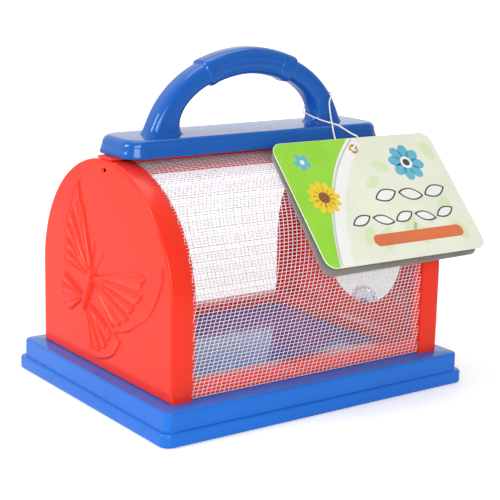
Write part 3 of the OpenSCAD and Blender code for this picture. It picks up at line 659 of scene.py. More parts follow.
def netTree(material):
    tree = bpy.data.node_groups.new("leaningNet", "GeometryNodeTree")
    face = tree.interface
    face.new_socket("Geometry", in_out="INPUT", socket_type="NodeSocketGeometry")
    for name in ("Pitch Along", "Pitch Round", "Lean", "Half Width", "Radius", "Arch Height", "Foot Height",
                 "Strand Along", "Strand Round", "Weave"):
        face.new_socket(name, in_out="INPUT", socket_type="NodeSocketFloat")
    face.new_socket("Geometry", in_out="OUTPUT", socket_type="NodeSocketGeometry")
    given = tree.nodes.new("NodeGroupInput").outputs

    def calc(operation, *values, **settings):
        return addNode(tree, "ShaderNodeMath", dict(enumerate(values)), operation=operation, **settings).outputs[0]

    def make(kind, inputs=None, **settings):
        return addNode(tree, kind, inputs, **settings).outputs[0]

    def apart(vector):
        return addNode(tree, "ShaderNodeSeparateXYZ", {0: vector}).outputs

    side = calc("SUBTRACT", given["Arch Height"], given["Foot Height"])
    arc = calc("MULTIPLY", given["Radius"], math.pi)
    length = calc("MULTIPLY_ADD", side, 2.0, arc)
    rows = calc("ADD", calc("FLOOR", calc("DIVIDE", length, given["Pitch Round"])), 1.0)
    reach = calc("MULTIPLY_ADD", calc("MULTIPLY", length, 0.5), given["Lean"], given["Half Width"])
    halfColumns = calc("CEIL", calc("DIVIDE", reach, given["Pitch Along"]))
    columns = calc("ADD", calc("MULTIPLY", halfColumns, 2.0), 1.0)
    sizeX = calc("MULTIPLY", calc("SUBTRACT", columns, 1.0), given["Pitch Along"])
    sizeY = calc("MULTIPLY", calc("SUBTRACT", rows, 1.0), given["Pitch Round"])
    grid = make("GeometryNodeMeshGrid", {"Size X": sizeX, "Size Y": sizeY, "Vertices X": columns,
                                         "Vertices Y": rows})
    index = make("GeometryNodeInputIndex")
    place = apart(make("GeometryNodeInputPosition"))
    column = calc("FLOOR", calc("DIVIDE", index, rows))
    row = calc("MODULO", index, rows)
    parity = calc("MULTIPLY_ADD", calc("MODULO", calc("ADD", column, row), 2.0), 2.0, -1.0)
    along = calc("MULTIPLY_ADD", place["Y"], given["Lean"], place["X"])
    roundWay = calc("ADD", place["Y"], calc("MULTIPLY", length, 0.5))

    def strands(sign, keepAlong, radius):
        lift = calc("MULTIPLY", parity, calc("MULTIPLY", given["Weave"], sign))
        flat = make("ShaderNodeCombineXYZ", {"X": along, "Y": roundWay, "Z": lift})
        laid = make("GeometryNodeSetPosition", {"Geometry": grid, "Position": flat})
        ends = addNode(tree, "GeometryNodeInputMeshEdgeVertices").outputs
        first, second = apart(ends["Position 1"])["Y"], apart(ends["Position 2"])["Y"]
        between = calc("ABSOLUTE", calc("SUBTRACT", first, second))
        alongWay = calc("LESS_THAN", between, calc("MULTIPLY", given["Pitch Round"], 0.5))
        drop = calc("SUBTRACT", 1.0, alongWay) if keepAlong else alongWay
        kept = make("GeometryNodeDeleteGeometry", {"Geometry": laid, "Selection": drop}, domain="EDGE",
                    mode="EDGE_FACE")
        where = apart(make("GeometryNodeInputPosition"))
        outside = calc("GREATER_THAN", calc("ABSOLUTE", where["X"]), given["Half Width"])
        kept = make("GeometryNodeDeleteGeometry", {"Geometry": kept, "Selection": outside}, domain="POINT")
        share = calc("DIVIDE", calc("SUBTRACT", where["Y"], side), arc, use_clamp=True)
        angle = calc("MULTIPLY", share, math.pi)
        far = calc("ADD", given["Radius"], where["Z"])
        y = calc("MULTIPLY", calc("MULTIPLY", calc("COSINE", angle), far), -1.0)
        frontLeg = calc("MAXIMUM", calc("SUBTRACT", side, where["Y"]), 0.0)
        backLeg = calc("MAXIMUM", calc("SUBTRACT", where["Y"], calc("ADD", side, arc)), 0.0)
        top = calc("MULTIPLY_ADD", calc("SINE", angle), far, given["Arch Height"])
        z = calc("SUBTRACT", top, calc("ADD", frontLeg, backLeg))
        bent = make("ShaderNodeCombineXYZ", {"X": where["X"], "Y": y, "Z": z})
        kept = make("GeometryNodeSetPosition", {"Geometry": kept, "Position": bent})
        curve = make("GeometryNodeMeshToCurve", {"Mesh": kept})
        ring = make("GeometryNodeCurvePrimitiveCircle", {"Resolution": 4, "Radius": radius})
        return make("GeometryNodeCurveToMesh", {"Curve": curve, "Profile Curve": ring, "Fill Caps": True})

    joined = tree.nodes.new("GeometryNodeJoinGeometry")
    tree.links.new(strands(1.0, True, given["Strand Along"]), joined.inputs[0])
    tree.links.new(strands(-1.0, False, given["Strand Round"]), joined.inputs[0])
    real = make("GeometryNodeRealizeInstances", {"Geometry": joined.outputs[0]})
    soft = make("GeometryNodeSetShadeSmooth", {"Geometry": real})
    done = make("GeometryNodeSetMaterial", {"Geometry": soft, "Material": material})
    tree.links.new(done, tree.nodes.new("NodeGroupOutput").inputs[0])
    return tree


# runs a Geometry Nodes tree with the named inputs and returns its result as a plain mesh object
def runTree(name, tree, values, base=None):
    obj = bpy.data.objects.new(name, base or bpy.data.meshes.new(name + "Base"))
    bpy.context.collection.objects.link(obj)
    modifier = obj.modifiers.new("made", "NODES")
    modifier.node_group = tree
    for item in tree.interface.items_tree:
        if item.in_out == "INPUT" and item.name in values:
            modifier[item.identifier] = values[item.name]
    graph = bpy.context.evaluated_depsgraph_get()
    mesh = bpy.data.meshes.new_from_object(obj.evaluated_get(graph), preserve_all_data_layers=True,
                                           depsgraph=graph)
    obj.modifiers.clear()
    obj.data = mesh
    return obj


# thin white nylon strands; the pink-lilac tint in their colour is painted light, the red and blue of the cage thrown
# onto them
def netMaterial():
    mat, tree, shader = newMaterial("whiteNetting")
    weave = objectNoise(tree, 0.0008, 3.0)
    plug(tree, shader, {"Base Color": ramp(tree, weave, [(0.3, (0.87, 0.84, 0.91)), (0.7, (0.96, 0.92, 0.98))]),
                        "Normal": bump(tree, weave, 0.2, 0.00005), "Roughness": mapRange(tree, weave, 0.42, 0.58)})
    return mat


print("netting")
netSizes = {"Pitch Along": netting["pitchAlong"], "Pitch Round": netting["pitchRound"],
            "Half Width": netting["halfWidth"], "Radius": netting["radius"], "Arch Height": cageSize["archHeight"],
            "Foot Height": cageSize["deck"] + netting["footAboveDeck"], "Strand Along": netting["strandAlong"],
            "Strand Round": netting["strandRound"], "Weave": netting["weave"]}
netPiece = runTree("nettingWoven", netTree(netMaterial()),
                   {"Lean": netting["lean"], **{name: size * mm for name, size in netSizes.items()}})
print("netting triangles", sum(len(p.vertices) - 2 for p in netPiece.data.polygons))
settle(netPiece, cage, ["net_screen"])


# hang tag: two cards, a brass eyelet and a generic garden print
hangTag = {
    "eyelet": (45.9, -28.665, 117.461), "frontLean": 46.2, "frontTwist": -0.5, "backLean": 47.44,
    "backTwist": 0.2, "gap": 0.6, "card": 0.5, "size": (102.4, 71.7), "corner": 6.0, "fromLeft": 48.7,
    "fromTop": 6.7, "hole": 2.1, "border": 0.25, "ink": 0.012, "clear": 3.1,
}
backCard = {**hangTag, "size": (100.0, 70.5), "fromLeft": 50.3, "fromTop": 4.2, "sag": 1.5}


# places a card drawn flat: its eyelet at the origin, X along it, Y up it
def cardPlace(lean, twist, lift):
    return (Matrix.Translation(Vector(hangTag["eyelet"])) @ Matrix.Rotation(math.radians(lean), 4, "X")
            @ Matrix.Translation((0, 0, lift)) @ Matrix.Rotation(math.radians(twist), 4, "Z"))


def cardOutline(t, inset=0.0, steps=8):
    w, h = t["size"]
    cx, cy = w / 2 - t["fromLeft"], t["fromTop"] - h / 2
    ring = roundedRing(w / 2 - inset, h / 2 - inset, t["corner"] - inset, 0, steps)
    return [(x + cx, y + cy) for x, y, _ in ring]


# a card with a punched hole; with sag, its lower part hangs back over the round of the cage
def cardParts(t, place, sag=0.0):
    outline = np.array(cardOutline(t))
    hole = np.array([circlePoint(0.0, 0.0, t["hole"], a) for a in np.arctan2(outline[:, 1], outline[:, 0])])
    rings = []
    inset = np.array(cardOutline(t, 0.12))
    back = [(hole + (inset - hole) * i / 12, -t["card"]) for i in range(13)]
    front = [(hole + (inset - hole) * i / 12, 0.0) for i in range(12, -1, -1)]
    for points, z in back + [(outline, -t["card"] + 0.12), (outline, -0.12)] + front:
        lift = -sag * (np.maximum(0.0, -points[:, 1] - 22.0) / 42.0) ** 2
        rings.append(np.column_stack([points[:, 0], points[:, 1], np.full(len(points), z) + lift]))
    points, faces = skinRings(rings, closed=True)
    return [tuple(place @ Vector(p)) for p in points], faces


def cardMaterial(name, colour, deep):
    mat, tree, shader = newMaterial(name)
    fibre = objectNoise(tree, 0.0012, 5.0, 0.65)
    cloud = objectNoise(tree, 0.02, 2.0)
    mixed = addNode(tree, "ShaderNodeMath", {0: fibre, 1: cloud}, operation="ADD").outputs[0]
    tone = mapRange(tree, mixed, 0.0, 1.0, 0.8, 1.2)
    plug(tree, shader, {"Base Color": ramp(tree, tone, [(0.0, deep), (1.0, colour)]),
                        "Normal": bump(tree, fibre, 0.08, 0.00004), "Roughness": mapRange(tree, fibre, 0.32, 0.46)})
    return mat


printColours = {
    "cream": ((0.79, 0.81, 0.67), (0.73, 0.76, 0.61)), "green": ((0.30, 0.66, 0.035), (0.26, 0.60, 0.03)),
    "white": ((0.86, 0.86, 0.84), (0.80, 0.80, 0.78)), "grey": ((0.60, 0.60, 0.58), (0.52, 0.52, 0.50)),
    "sage": ((0.68, 0.77, 0.50), (0.63, 0.73, 0.45)), "blue": ((0.13, 0.46, 0.62), (0.10, 0.40, 0.56)),
    "dark": ((0.035, 0.055, 0.035), (0.03, 0.045, 0.03)), "yellow": ((0.85, 0.62, 0.03), (0.78, 0.55, 0.02)),
    "orange": ((0.70, 0.17, 0.055), (0.64, 0.14, 0.045)), "brown": ((0.30, 0.10, 0.03), (0.24, 0.08, 0.02)),
}
printed = {k: cardMaterial("print" + k.capitalize(), *v) for k, v in printColours.items()}
# the back card is white-grey board; its dark grey-brown colour here is painted shade, the shadow that the front card
# casts on it
plainCardPaintedShade = cardMaterial("plainCardPaintedShade", (0.30, 0.28, 0.26), (0.25, 0.235, 0.215))


print("hang tag")
frontPlace = cardPlace(hangTag["frontLean"], hangTag["frontTwist"], hangTag["gap"] + hangTag["card"])
backPlace = cardPlace(hangTag["backLean"], hangTag["backTwist"], 0.0)
cardArt = []  # (points in millimetres from the card's top left corner, height, colour)


def disc(cx, cy, r, n=28, squeeze=1.0, turn=0.0):
    c, s = math.cos(turn), math.sin(turn)
    out = []
    for a in onceRound(n):
        u, v = math.cos(a), squeeze * math.sin(a)
        out.append((cx + r * (u * c - v * s), cy + r * (u * s + v * c)))
    return out


def petals(cx, cy, inner, outer, count, width, colour, level, turn=0.0):
    for i in range(count):
        a = turn + 2 * math.pi * i / count
        middle, half = (inner + outer) / 2, (outer - inner) / 2
        cardArt.append((disc(*circlePoint(cx, cy, middle, a), half, 20, width / half, a), level, colour))


def leafShape(x, y, length, width, turn):
    c, s = math.cos(turn), math.sin(turn)
    out = []
    for i in range(25):
        t = i / 12.0 if i <= 12 else (24 - i) / 12.0
        side = 1 if i <= 12 else -1
        u, v = t * length, side * width * math.sin(math.pi * t) ** 0.8
        out.append((x + u * c - v * s, y + u * s + v * c))
    return out[:-1]


# a ribbon along the points
def band(points, width):
    p = np.array(points)
    way = np.gradient(p, axis=0)
    way /= np.linalg.norm(way, axis=1)[:, None]
    side = np.column_stack([-way[:, 1], way[:, 0]]) * width / 2
    return [tuple(q) for q in np.vstack([p + side, (p - side)[::-1]])]


# where the print's shapes stand, in millimetres from the card's top left corner
cardPrint = {
    "sweep": [(50, 0.3), (41, 8), (32.5, 17), (25, 27.5), (18.5, 39), (13.4, 51), (9.8, 61.5), (7.2, 71.4)],
    "paleLeaves": [(58, 60, 16, 4, -1.2), (66, 66, 14, 4, -1.7), (84, 52, 15, 4, -1.0), (40, 66, 15, 4, -1.1),
                   (45, 30, 12, 3, -0.5), (93, 66, 13, 4, -1.9), (54, 16, 12, 3.4, 0.4), (30, 62, 12, 3.4, -1.0),
                   (97, 18, 13, 3.6, -1.8)],
    "rows": [(15.5, 3.6, 0.22, [(47, 37), (63, 34.5), (79, 37.5)]),
             (13.5, 2.9, 0.3, [(26, 50), (39.5, 47), (53, 50.5), (66.5, 47.5), (80, 50.5)])],
    "blueFlower": (78, 17.5), "yellowFlower": (17, 33), "smallFlower": (14, 12), "bar": (63, 60.0),
}
fieldEdge = [tuple(p) for p in glideCurve(cardPrint["sweep"], 8)]
corner = [(6 - 5.7 * math.cos(a), 6 - 5.7 * math.sin(a)) for a in (math.pi * i / 12 for i in range(7))]
cardArt.append((corner + fieldEdge + [(x, 71.7 - y) for x, y in corner[::-1]], 1, "green"))
cardArt.append((band([(x + 4.3, y) for x, y in fieldEdge[1:-1]], 8.0), 2, "white"))
cardArt.append((band([(x + 1.0, y) for x, y in fieldEdge[1:-1]], 1.1), 3, "grey"))
for leaf in cardPrint["paleLeaves"]:
    cardArt.append((leafShape(*leaf), 1, "sage"))
petals(*cardPrint["blueFlower"], 2.6, 11.0, 8, 3.1, "blue", 4, 0.2)
cardArt.append((disc(*cardPrint["blueFlower"], 3.6), 5, "white"))
cardArt.append((disc(*cardPrint["blueFlower"], 2.1), 6, "dark"))
petals(*cardPrint["yellowFlower"], 2.6, 9.6, 12, 1.8, "yellow", 4)
cardArt.append((disc(*cardPrint["yellowFlower"], 3.2), 5, "brown"))
petals(*cardPrint["smallFlower"], 0.9, 5.0, 5, 1.6, "blue", 4, 0.5)
cardArt.append((disc(*cardPrint["smallFlower"], 1.3), 5, "white"))
for length, width, tilt, places in cardPrint["rows"]:
    for i, (x, y) in enumerate(places):
        t = tilt if i % 2 else -tilt
        inner = x + 1.3 * math.cos(t), y + 1.3 * math.sin(t)
        cardArt.append((leafShape(x, y, length, width, t), 4, "dark"))
        cardArt.append((leafShape(*inner, length - 2.6, width - 0.75, t), 5, "white"))
bar = cardPrint["bar"]
cardArt.append(([(x + bar[0], y + bar[1]) for x, y, _ in roundedRing(29, 3.3, 3.2, 0, 8)], 4, "orange"))


def artMesh(shapes):
    byColour = {}
    for points, level, colour in shapes:
        flat = [(x - hangTag["fromLeft"], hangTag["fromTop"] - y) for x, y in points]
        byColour.setdefault(colour, []).append((flat, 0.004 + hangTag["ink"] * level))
    return byColour


def artObjects(place):
    half = np.array(hangTag["size"]) / 2
    centre = np.array([half[0] - hangTag["fromLeft"], hangTag["fromTop"] - half[1]])
    for colour, shapes in artMesh(cardArt).items():
        parts = []
        for flat, height in shapes:
            f = np.array(flat)
            f = centre + np.clip(f - centre, -half + hangTag["border"], half - hangTag["border"])
            d = np.linalg.norm(f, axis=1)
            near = d < hangTag["clear"]  # keep clear of the eyelet's lip
            f[near] = f[near] / np.maximum(d[near], 0.1)[:, None] * hangTag["clear"]
            low = [tuple(place @ Vector((x, y, -0.05))) for x, y in f]
            high = [tuple(place @ Vector((x, y, height))) for x, y in f]
            after = np.roll(f, -1, axis=0)
            area = float(np.sum(f[:, 0] * after[:, 1] - after[:, 0] * f[:, 1]))
            parts.append(orient(skinRings([low, high]), area < 0))
        name = "print" + colour.capitalize() + "Shapes"
        makeObject(name, parts, printed[colour], cage, [], 30.0)


makeObject("tagFrontPrinted", [cardParts(hangTag, frontPlace)], printed["cream"], cage,
           ["tag_front_card"], 30.0)
artObjects(frontPlace)
makeObject("tagBackPlain", [cardParts(backCard, backPlace, backCard["sag"])], plainCardPaintedShade, cage,
           ["tag_back_card"], 30.0)

middlePlace = cardPlace(hangTag["frontLean"], hangTag["frontTwist"], 0.0)
eyelet = {"bore": 1.4, "barrel": 1.9, "lip": 2.8, "rise": 0.42, "low": -1.15}


def eyeletParts(e):
    low, high = e["low"], hangTag["gap"] + hangTag["card"] + 0.02
    b, r, lip, up = e["bore"], e["barrel"], e["lip"], e["rise"]
    outline = [(r, low), (r, high)]
    outline += [(lip - 0.35, high), (lip, high + 0.12), (lip - 0.15, high + up * 0.75), (lip - 0.55, high + up),
                (b + 0.35, high + up * 0.85), (b, high + up * 0.3), (b, low - up * 0.3),
                (b + 0.35, low - up * 0.85), (lip - 0.55, low - up), (lip - 0.15, low - up * 0.75),
                (lip, low - 0.12), (lip - 0.35, low)]
    rings = []
    for radius, z in outline:
        rings.append([tuple(middlePlace @ Vector((*circlePoint(0.0, 0.0, radius, a), z))) for a in onceRound(40)])
    return [skinRings(rings, closed=True)]


eyeletPiece = makeObject("tagEyeletRolled", eyeletParts(eyelet), brass, cage, ["tag_eyelet"],
                         50.0)


# screws: one pan-head screw, set at its places by Geometry Nodes; it stands on its head, with its shank going up
# from the seat at the origin
def screwMesh(name, length, headRadius, headHeight, shank=1.5, sides=24, pitch=1.1):
    rings = []

    def ring(z, radius, cross=0.0):  # cross is how far the driver's cross cuts in
        out = []
        for a in onceRound(sides):
            r = radius * (1 - cross * (1 - abs(math.cos(2 * a)) ** 2.5))
            out.append((r * math.cos(a), r * math.sin(a), z))
        rings.append(out)

    h, w = headRadius, headHeight
    ring(-w + 1.0, 0.12, 0.5)
    ring(-w + 0.9, 0.95, 0.62)
    ring(-w + 0.12, 1.45, 0.62)
    ring(-w, 1.6, 0.3)
    for share, up in ((0.66, 0.02), (0.82, 0.16), (0.94, 0.38), (1.0, 0.72)):
        ring(-w + w * up, max(h * share, 1.7))
    ring(-0.12, h)
    ring(0.0, h - 0.12)
    ring(0.0, shank * 0.82)
    steps = int((length - 1.4) / (pitch / 5))
    for i in range(steps + 1):
        z = 0.4 + (length - 1.4) * i / steps
        out = []
        for k, a in enumerate(onceRound(sides)):
            phase = (z / pitch - k / sides) % 1.0
            r = shank * (0.78 + 0.2 * max(0.0, 1 - abs(phase - 0.5) * 4))
            out.append((r * math.cos(a), r * math.sin(a), z))
        rings.append(out)
    ring(length - 0.5, shank * 0.5)
    ring(length, shank * 0.12)
    points, faces = skinRings(rings)
    mesh = bpy.data.meshes.new(name)
    mesh.from_pydata((np.array(points) * mm).tolist(), [], faces)
    mesh.polygons.foreach_set("use_smooth", [True] * len(faces))
    mesh.set_sharp_from_angle(angle=math.radians(40))
    return mesh


def screwTree(source, material):
    tree = bpy.data.node_groups.new(source.name + "Placed", "GeometryNodeTree")
    for name, way, kind in (("Geometry", "INPUT", "Geometry"), ("Turn", "INPUT", "Float"), ("Seed", "INPUT", "Int"),
                            ("Geometry", "OUTPUT", "Geometry")):
        tree.interface.new_socket(name, in_out=way, socket_type="NodeSocket" + kind)
    given = tree.nodes.new("NodeGroupInput").outputs
    info = addNode(tree, "GeometryNodeObjectInfo", {"Object": source}, transform_space="ORIGINAL")
    shape = info.outputs["Geometry"]
    spin = addNode(tree, "FunctionNodeRandomValue", {2: 0.0, 3: given["Turn"], "Seed": given["Seed"]},
                   data_type="FLOAT")
    turn = addNode(tree, "ShaderNodeCombineXYZ", {"Z": spin.outputs[1]}).outputs[0]
    placed = addNode(tree, "GeometryNodeInstanceOnPoints", {"Points": given["Geometry"], "Instance": shape,
                                                            "Rotation": turn}).outputs[0]
    real = addNode(tree, "GeometryNodeRealizeInstances", {"Geometry": placed}).outputs[0]
    done = addNode(tree, "GeometryNodeSetMaterial", {"Geometry": real, "Material": material}).outputs[0]
    tree.links.new(done, tree.nodes.new("NodeGroupOutput").inputs[0])
    return tree


screwSets = {
    "cap_screws": {"places": [(x, 0.0, 113.37) for x in (-38.56, -16.53, 16.53, 38.56)], "length": 11.2,
                   "headRadius": 2.9, "headHeight": 1.8, "seed": 3},
    "handle_screws": {"places": [(x, 0.0, 126.3) for x in (-48.5, 48.5)], "length": 10.8, "headRadius": 6.0,
                      "headHeight": 1.8, "seed": 5},
    "frame_screws": {"places": [(x, y, 17.5) for x in (-66.1, 66.1) for y in (-52.7, 52.7)], "length": 4.3,
                     "headRadius": 2.9, "headHeight": 1.8, "seed": 7},
    "base_screws": {"places": [(x, y, baseTray["screwSeat"]) for x in (-71.05, 71.05) for y in (-32.93, 32.93)],
                    "length": 10.7, "headRadius": 2.9, "headHeight": 1.8, "seed": 9},
}
print("screws")
for setName, screw in screwSets.items():
    words = setName.split("_")
    pieceName = words[0] + "ScrewsSet"
    shape = screwMesh(pieceName + "Shape", screw["length"], screw["headRadius"], screw["headHeight"])
    source = bpy.data.objects.new(pieceName + "Shape", shape)
    points = bpy.data.meshes.new(pieceName + "Points")
    points.from_pydata([tuple(c * mm for c in p) for p in screw["places"]], [], [])
    placed = runTree(pieceName, screwTree(source, steel), {"Turn": 3.1, "Seed": screw["seed"]}, points)
    settle(placed, cage, [setName])
    bpy.data.objects.remove(source)


# door: a clear disc that hangs from a riveted pin, with a lilac finger knob at its foot
swingDoor = {"inside": 80.8, "outside": 82.8, "radius": 36.5, "height": 61.3, "lug": 6.5, "pivot": 101.0,
             "pinHole": 2.15, "knobHeight": 26.0, "knobSeat": 9.0, "edge": 0.45, "points": 160}


# the outline round circles (y, z, radius), by how far each way out they reach
def hullOutline(circles, count):
    order = sorted(circlePoint(cy, cz, r, a) for cy, cz, r in circles for a in onceRound(720))
    lower, upper = [], []
    for chain, pts in ((lower, order), (upper, order[::-1])):
        for p in pts:
            while len(chain) > 1 and ((chain[-1][0] - chain[-2][0]) * (p[1] - chain[-2][1])
                                      - (chain[-1][1] - chain[-2][1]) * (p[0] - chain[-2][0])) <= 1e-9:
                chain.pop()
            chain.append(p)
    loop = np.array(lower[:-1] + upper[:-1])
    closedLoop = np.vstack([loop, loop[:1]])
    run = np.concatenate([[0], np.cumsum(np.linalg.norm(np.diff(closedLoop, axis=0), axis=1))])
    at = np.linspace(0, run[-1], count, endpoint=False)
    return np.column_stack([np.interp(at, run, closedLoop[:, 0]), np.interp(at, run, closedLoop[:, 1])])


def doorParts(d):
    circles = [(0.0, d["height"], d["radius"]), (0.0, d["pivot"], d["lug"]), (0.0, d["knobHeight"], d["knobSeat"])]
    outline = hullOutline(circles, d["points"])
    pivot = np.array([0.0, d["pivot"]])
    e = d["edge"]
    middle = np.array([0.0, d["height"]])
    inward = (middle - outline) / np.linalg.norm(outline - middle, axis=1)[:, None]
    ang = np.arctan2(outline[:, 1] - pivot[1], outline[:, 0] - pivot[0])
    hole = pivot + d["pinHole"] * np.column_stack([np.cos(ang), np.sin(ang)])
    x0, x1 = d["inside"], d["outside"]
    flat, chamfer = outline + inward * e, outline + inward * e * 0.3
    rings = [(hole, x0), (flat, x0), (chamfer, x0 + e * 0.3), (outline, x0 + e), (outline, x1 - e),
             (chamfer, x1 - e * 0.3), (flat, x1), (hole, x1)]
    rings = [np.column_stack([np.full(len(r), x), r[:, 0], r[:, 1]]) for r, x in rings]
    return [skinRings(rings, closed=True)]


def clearMaterial(name, colour, transmission, roughness, bend):
    mat, tree, shader = newMaterial(name)
    haze = objectNoise(tree, 0.006, 4.0, 0.6)
    plug(tree, shader, {
        "Base Color": ramp(tree, haze, [(0.3, tuple(c * 0.97 for c in colour)), (0.7, colour)]),
        "Roughness": mapRange(tree, haze, *roughness), "Normal": bump(tree, haze, 0.1, 0.00008),
        "Transmission Weight": transmission, "IOR": bend})
    return mat


# profiles are (distance along X, radius) round the piece's own axis
doorKnob = {
    "foot": 82.82,
    "dish": [(-1.95, 2.6), (-1.7, 2.95), (0.0, 3.0), (0.02, 9.4), (0.3, 9.8), (2.6, 9.8), (3.05, 9.55), (3.2, 9.0),
             (3.05, 8.5), (2.6, 8.2), (1.75, 8.1), (1.6, 7.7), (1.6, 3.0), (2.0, 2.2), (2.1, 0.0)],
    "hub": [(-1.9, 0.0), (-1.9, 2.0), (-1.7, 2.25), (1.9, 2.35), (2.25, 2.25), (2.45, 1.8), (2.5, 0.0)],
}
doorPin = {
    "rivet": [(76.5, 0.0), (76.5, 2.2), (76.7, 2.6), (77.08, 2.65), (77.1, 2.0), (83.0, 2.0), (83.02, 3.9),
              (83.3, 4.0), (83.9, 3.8), (84.3, 3.1), (84.55, 1.9), (84.6, 0.0)],
    "washer": [(77.15, 2.1), (77.15, 3.9), (77.25, 4.0), (78.15, 4.0), (78.25, 3.9), (78.25, 2.1)],
}
print("door")
clearPlastic = clearMaterial("clearPlastic", (0.97, 0.985, 0.985), 1.0, (0.02, 0.06), 1.3)
lilacPlastic = clearMaterial("lilacPlastic", (0.90, 0.86, 0.97), 0.9, (0.04, 0.10), 1.45)
deepLilac = clearMaterial("deepLilacPlastic", (0.46, 0.30, 0.66), 0.45, (0.08, 0.18), 1.45)
makeObject("swingDoorDisc", doorParts(swingDoor), clearPlastic, door, ["swing_door"], 15.0)
knobFoot, pivotPlace = (doorKnob["foot"], 0.0, swingDoor["knobHeight"]), (0, 0, swingDoor["pivot"])
makeObject("doorKnobDished", [turned(doorKnob["dish"], knobFoot, (1, 0, 0), 64)], lilacPlastic, door,
           ["door_knob"], 50.0)
makeObject("doorKnobHub", [turned(doorKnob["hub"], knobFoot, (1, 0, 0), 40)], deepLilac, door, [],
           50.0)
makeObject("doorPinRivet", [turned(doorPin["rivet"], pivotPlace, (1, 0, 0))], steel, cage, ["door_pin"])
washerRings = [[(x, *circlePoint(0.0, swingDoor["pivot"], r, a)) for a in onceRound(40)]
               for x, r in doorPin["washer"]]
makeObject("doorWasherFlat", [skinRings(washerRings, closed=True)], steel, cage, ["door_washer"])


# hoops, ridge and saddle: small moulded strips under the net and the cap
clampHoop = {"inner": 66.1, "outer": 78.25, "under": 56.6, "over": 58.05, "low": 23.05, "edge": 0.35,
             "archSteps": 96, "legSteps": 8}
ridgeBeam = {"half": 66.05, "under": 55.6, "over": 58.05, "angle": 14.5, "edge": 0.3, "latchIn": 61.2,
             "latchOut": 79.7, "latchHalf": 1.6, "latchLow": 112.05, "latchHigh": 114.4, "latchEdge": 0.35}
saddleBar = {"half": 80.45, "stepAt": 69.0, "low": 116.7, "endLow": 118.55, "top": 119.75, "halfWidth": 5.95,
             "edge": 0.3}


# a strip bent to the arch, with rounded edges
def hoopPart(h, side):
    zc, e, low, legSteps = cageSize["archHeight"], h["edge"], h["low"], h["legSteps"]
    x0, x1 = sorted((side * h["inner"], side * h["outer"]))
    r0, r1 = h["under"], h["over"]
    section = [(x0 + e, r0), (x0 + e * 0.3, r0 + e * 0.3), (x0, r0 + e), (x0, r1 - e), (x0 + e * 0.3, r1 - e * 0.3),
               (x0 + e, r1), (x1 - e, r1), (x1 - e * 0.3, r1 - e * 0.3), (x1, r1 - e), (x1, r0 + e),
               (x1 - e * 0.3, r0 + e * 0.3), (x1 - e, r0)]
    rings = [[(x, -r, low + (zc - low) * i / legSteps) for x, r in section] for i in range(legSteps)]
    rings += [[(x, -r * math.cos(a), zc + r * math.sin(a)) for x, r in section]
              for a in (math.pi * i / h["archSteps"] for i in range(h["archSteps"] + 1))]
    rings += [[(x, r, zc - (zc - low) * (i + 1) / legSteps) for x, r in section] for i in range(legSteps)]
    return skinRings(rings)


# a curved strip under the net, with a latch at each end that goes into the panel's slot
def ridgeParts(b):
    zc, angle = cageSize["archHeight"], math.radians(b["angle"])
    rings = []
    for x, e in ((-b["half"], b["edge"]), (b["edge"] - b["half"], 0.0), (b["half"] - b["edge"], 0.0),
                 (b["half"], b["edge"])):
        ring = []
        for radius, way in ((b["under"] + e, 1), (b["over"] - e, -1)):
            for i in range(25):
                a = way * (-angle + 2 * angle * i / 24)
                ring.append((x, radius * math.sin(a), zc + radius * math.cos(a)))
        rings.append(ring)
    parts = [orient(skinRings(rings), True)]
    for side in (-1, 1):
        x0, x1 = sorted((side * b["latchIn"], side * b["latchOut"]))
        parts.append(softBlock((x0, -b["latchHalf"], b["latchLow"]), (x1, b["latchHalf"], b["latchHigh"]),
                               b["latchEdge"]))
    return parts


# a flat bar whose underside steps up where it passes over the panels' flanges
def saddleParts(b):
    half, at, e = b["half"], b["stepAt"], b["edge"]
    rings = []
    for x, under, soft in ((-half, b["endLow"], e), (e - half, b["endLow"], 0.0), (-at - 0.2, b["endLow"], 0.0),
                           (-at, b["low"], 0.0), (at, b["low"], 0.0), (at + 0.2, b["endLow"], 0.0),
                           (half - e, b["endLow"], 0.0), (half, b["endLow"], e)):
        low, high, wide = under + soft, b["top"] - soft, b["halfWidth"] - soft
        rings.append([(x, -wide, low), (x, wide, low), (x, wide, high - e), (x, wide - e, high), (x, e - wide, high),
                      (x, -wide, high - e)])
    return [skinRings(rings)]


print("hoops, ridge and saddle")
for hoopName, side in (("left_hoop", -1), ("right_hoop", 1)):
    makeObject(hoopName.replace("_hoop", "HoopMoulded"), [hoopPart(clampHoop, side)], redPlastic, cage,
               [hoopName], 50.0)
makeObject("ridgeBeamMoulded", ridgeParts(ridgeBeam), redPlastic, cage, ["ridge_beam"], 40.0)
makeObject("saddleBarMoulded", saddleParts(saddleBar), redPlastic, cage, ["saddle_bar"], 40.0)


# floor, room and lamps
studio = {
    "roomLight": 0.42, "frontGloss": 0.45, "floorLift": 0.3, "floorHalf": 6, "floorDrop": 0.0002, "aim": (0, 0, 0.06),
    "lamps": [("keyLamp", (-0.98, 0.22, 0.6), (0.4, 0.4), 5.2), ("fillLamp", (-0.66, -0.95, 0.40), (0.7, 0.5), 7.9),
              ("topLamp", (0.1, 0.15, 1.1), (0.8, 0.8), 3.6)],
}


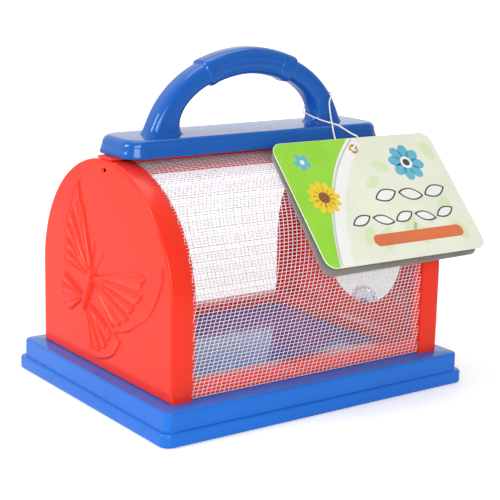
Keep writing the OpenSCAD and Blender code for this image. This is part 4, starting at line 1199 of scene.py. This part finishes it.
def addStage():
    half = studio["floorHalf"]
    floorMesh = bpy.data.meshes.new("floor")
    floorMesh.from_pydata([(-half, -half, 0), (half, -half, 0), (half, half, 0), (-half, half, 0)], [],
                          [(0, 1, 2, 3)])
    floor = bpy.data.objects.new("floor", floorMesh)
    floor.location = (0, 0, -studio["floorDrop"])
    mat, tree, shader = newMaterial("paleFloor")
    seen = addNode(tree, "ShaderNodeLightPath").outputs["Is Camera Ray"]
    place = addNode(tree, "ShaderNodeTexCoord").outputs["Object"]
    away = addNode(tree, "ShaderNodeVectorMath", {0: place}, operation="LENGTH").outputs["Value"]
    lift = mapRange(tree, away, studio["floorLift"], 1.0, 0.2, 0.9)
    glow = addNode(tree, "ShaderNodeMath", {0: seen, 1: lift}, operation="MULTIPLY").outputs[0]
    plug(tree, shader, {"Base Color": (0.94, 0.94, 0.94, 1), "Roughness": 0.7, "Emission Strength": glow,
                        "Emission Color": (1, 1, 1, 1)})
    floorMesh.materials.append(mat)
    bpy.context.collection.objects.link(floor)
    world = bpy.data.worlds.new("studio")
    bpy.context.scene.world = world
    world.use_nodes = True
    tree = world.node_tree
    rays = addNode(tree, "ShaderNodeLightPath").outputs
    seen = addNode(tree, "ShaderNodeMath", {0: rays["Is Camera Ray"], 1: rays["Is Transmission Ray"]},
                   operation="MAXIMUM").outputs[0]
    skyWay = addNode(tree, "ShaderNodeTexCoord").outputs["Generated"]
    deep = mapRange(tree, addNode(tree, "ShaderNodeSeparateXYZ", {0: skyWay}).outputs["Y"], studio["frontGloss"], 1.0,
                    -0.6, 0.3)
    gloss = addNode(tree, "ShaderNodeMix", {0: rays["Is Glossy Ray"], 2: studio["roomLight"], 3: deep}).outputs[0]
    strength = addNode(tree, "ShaderNodeMix", {0: seen, 2: gloss, 3: 1.0}).outputs[0]
    plug(tree, tree.nodes["Background"], {"Color": (1, 1, 1, 1), "Strength": strength})


def addLamp(name, place, size, power):
    data = bpy.data.lights.new(name, "AREA")
    data.shape = "RECTANGLE"
    data.size, data.size_y = size
    data.energy = power
    lamp = bpy.data.objects.new(name, data)
    lamp.location = place
    lamp.rotation_euler = (Vector(studio["aim"]) - Vector(place)).to_track_quat("-Z", "Y").to_euler()
    bpy.context.collection.objects.link(lamp)


print("stage")
addStage()
for lampName, lampPlace, lampSize, lampPower in studio["lamps"]:
    addLamp(lampName, lampPlace, lampSize, lampPower)
bpy.context.scene.view_settings.view_transform = "Standard"
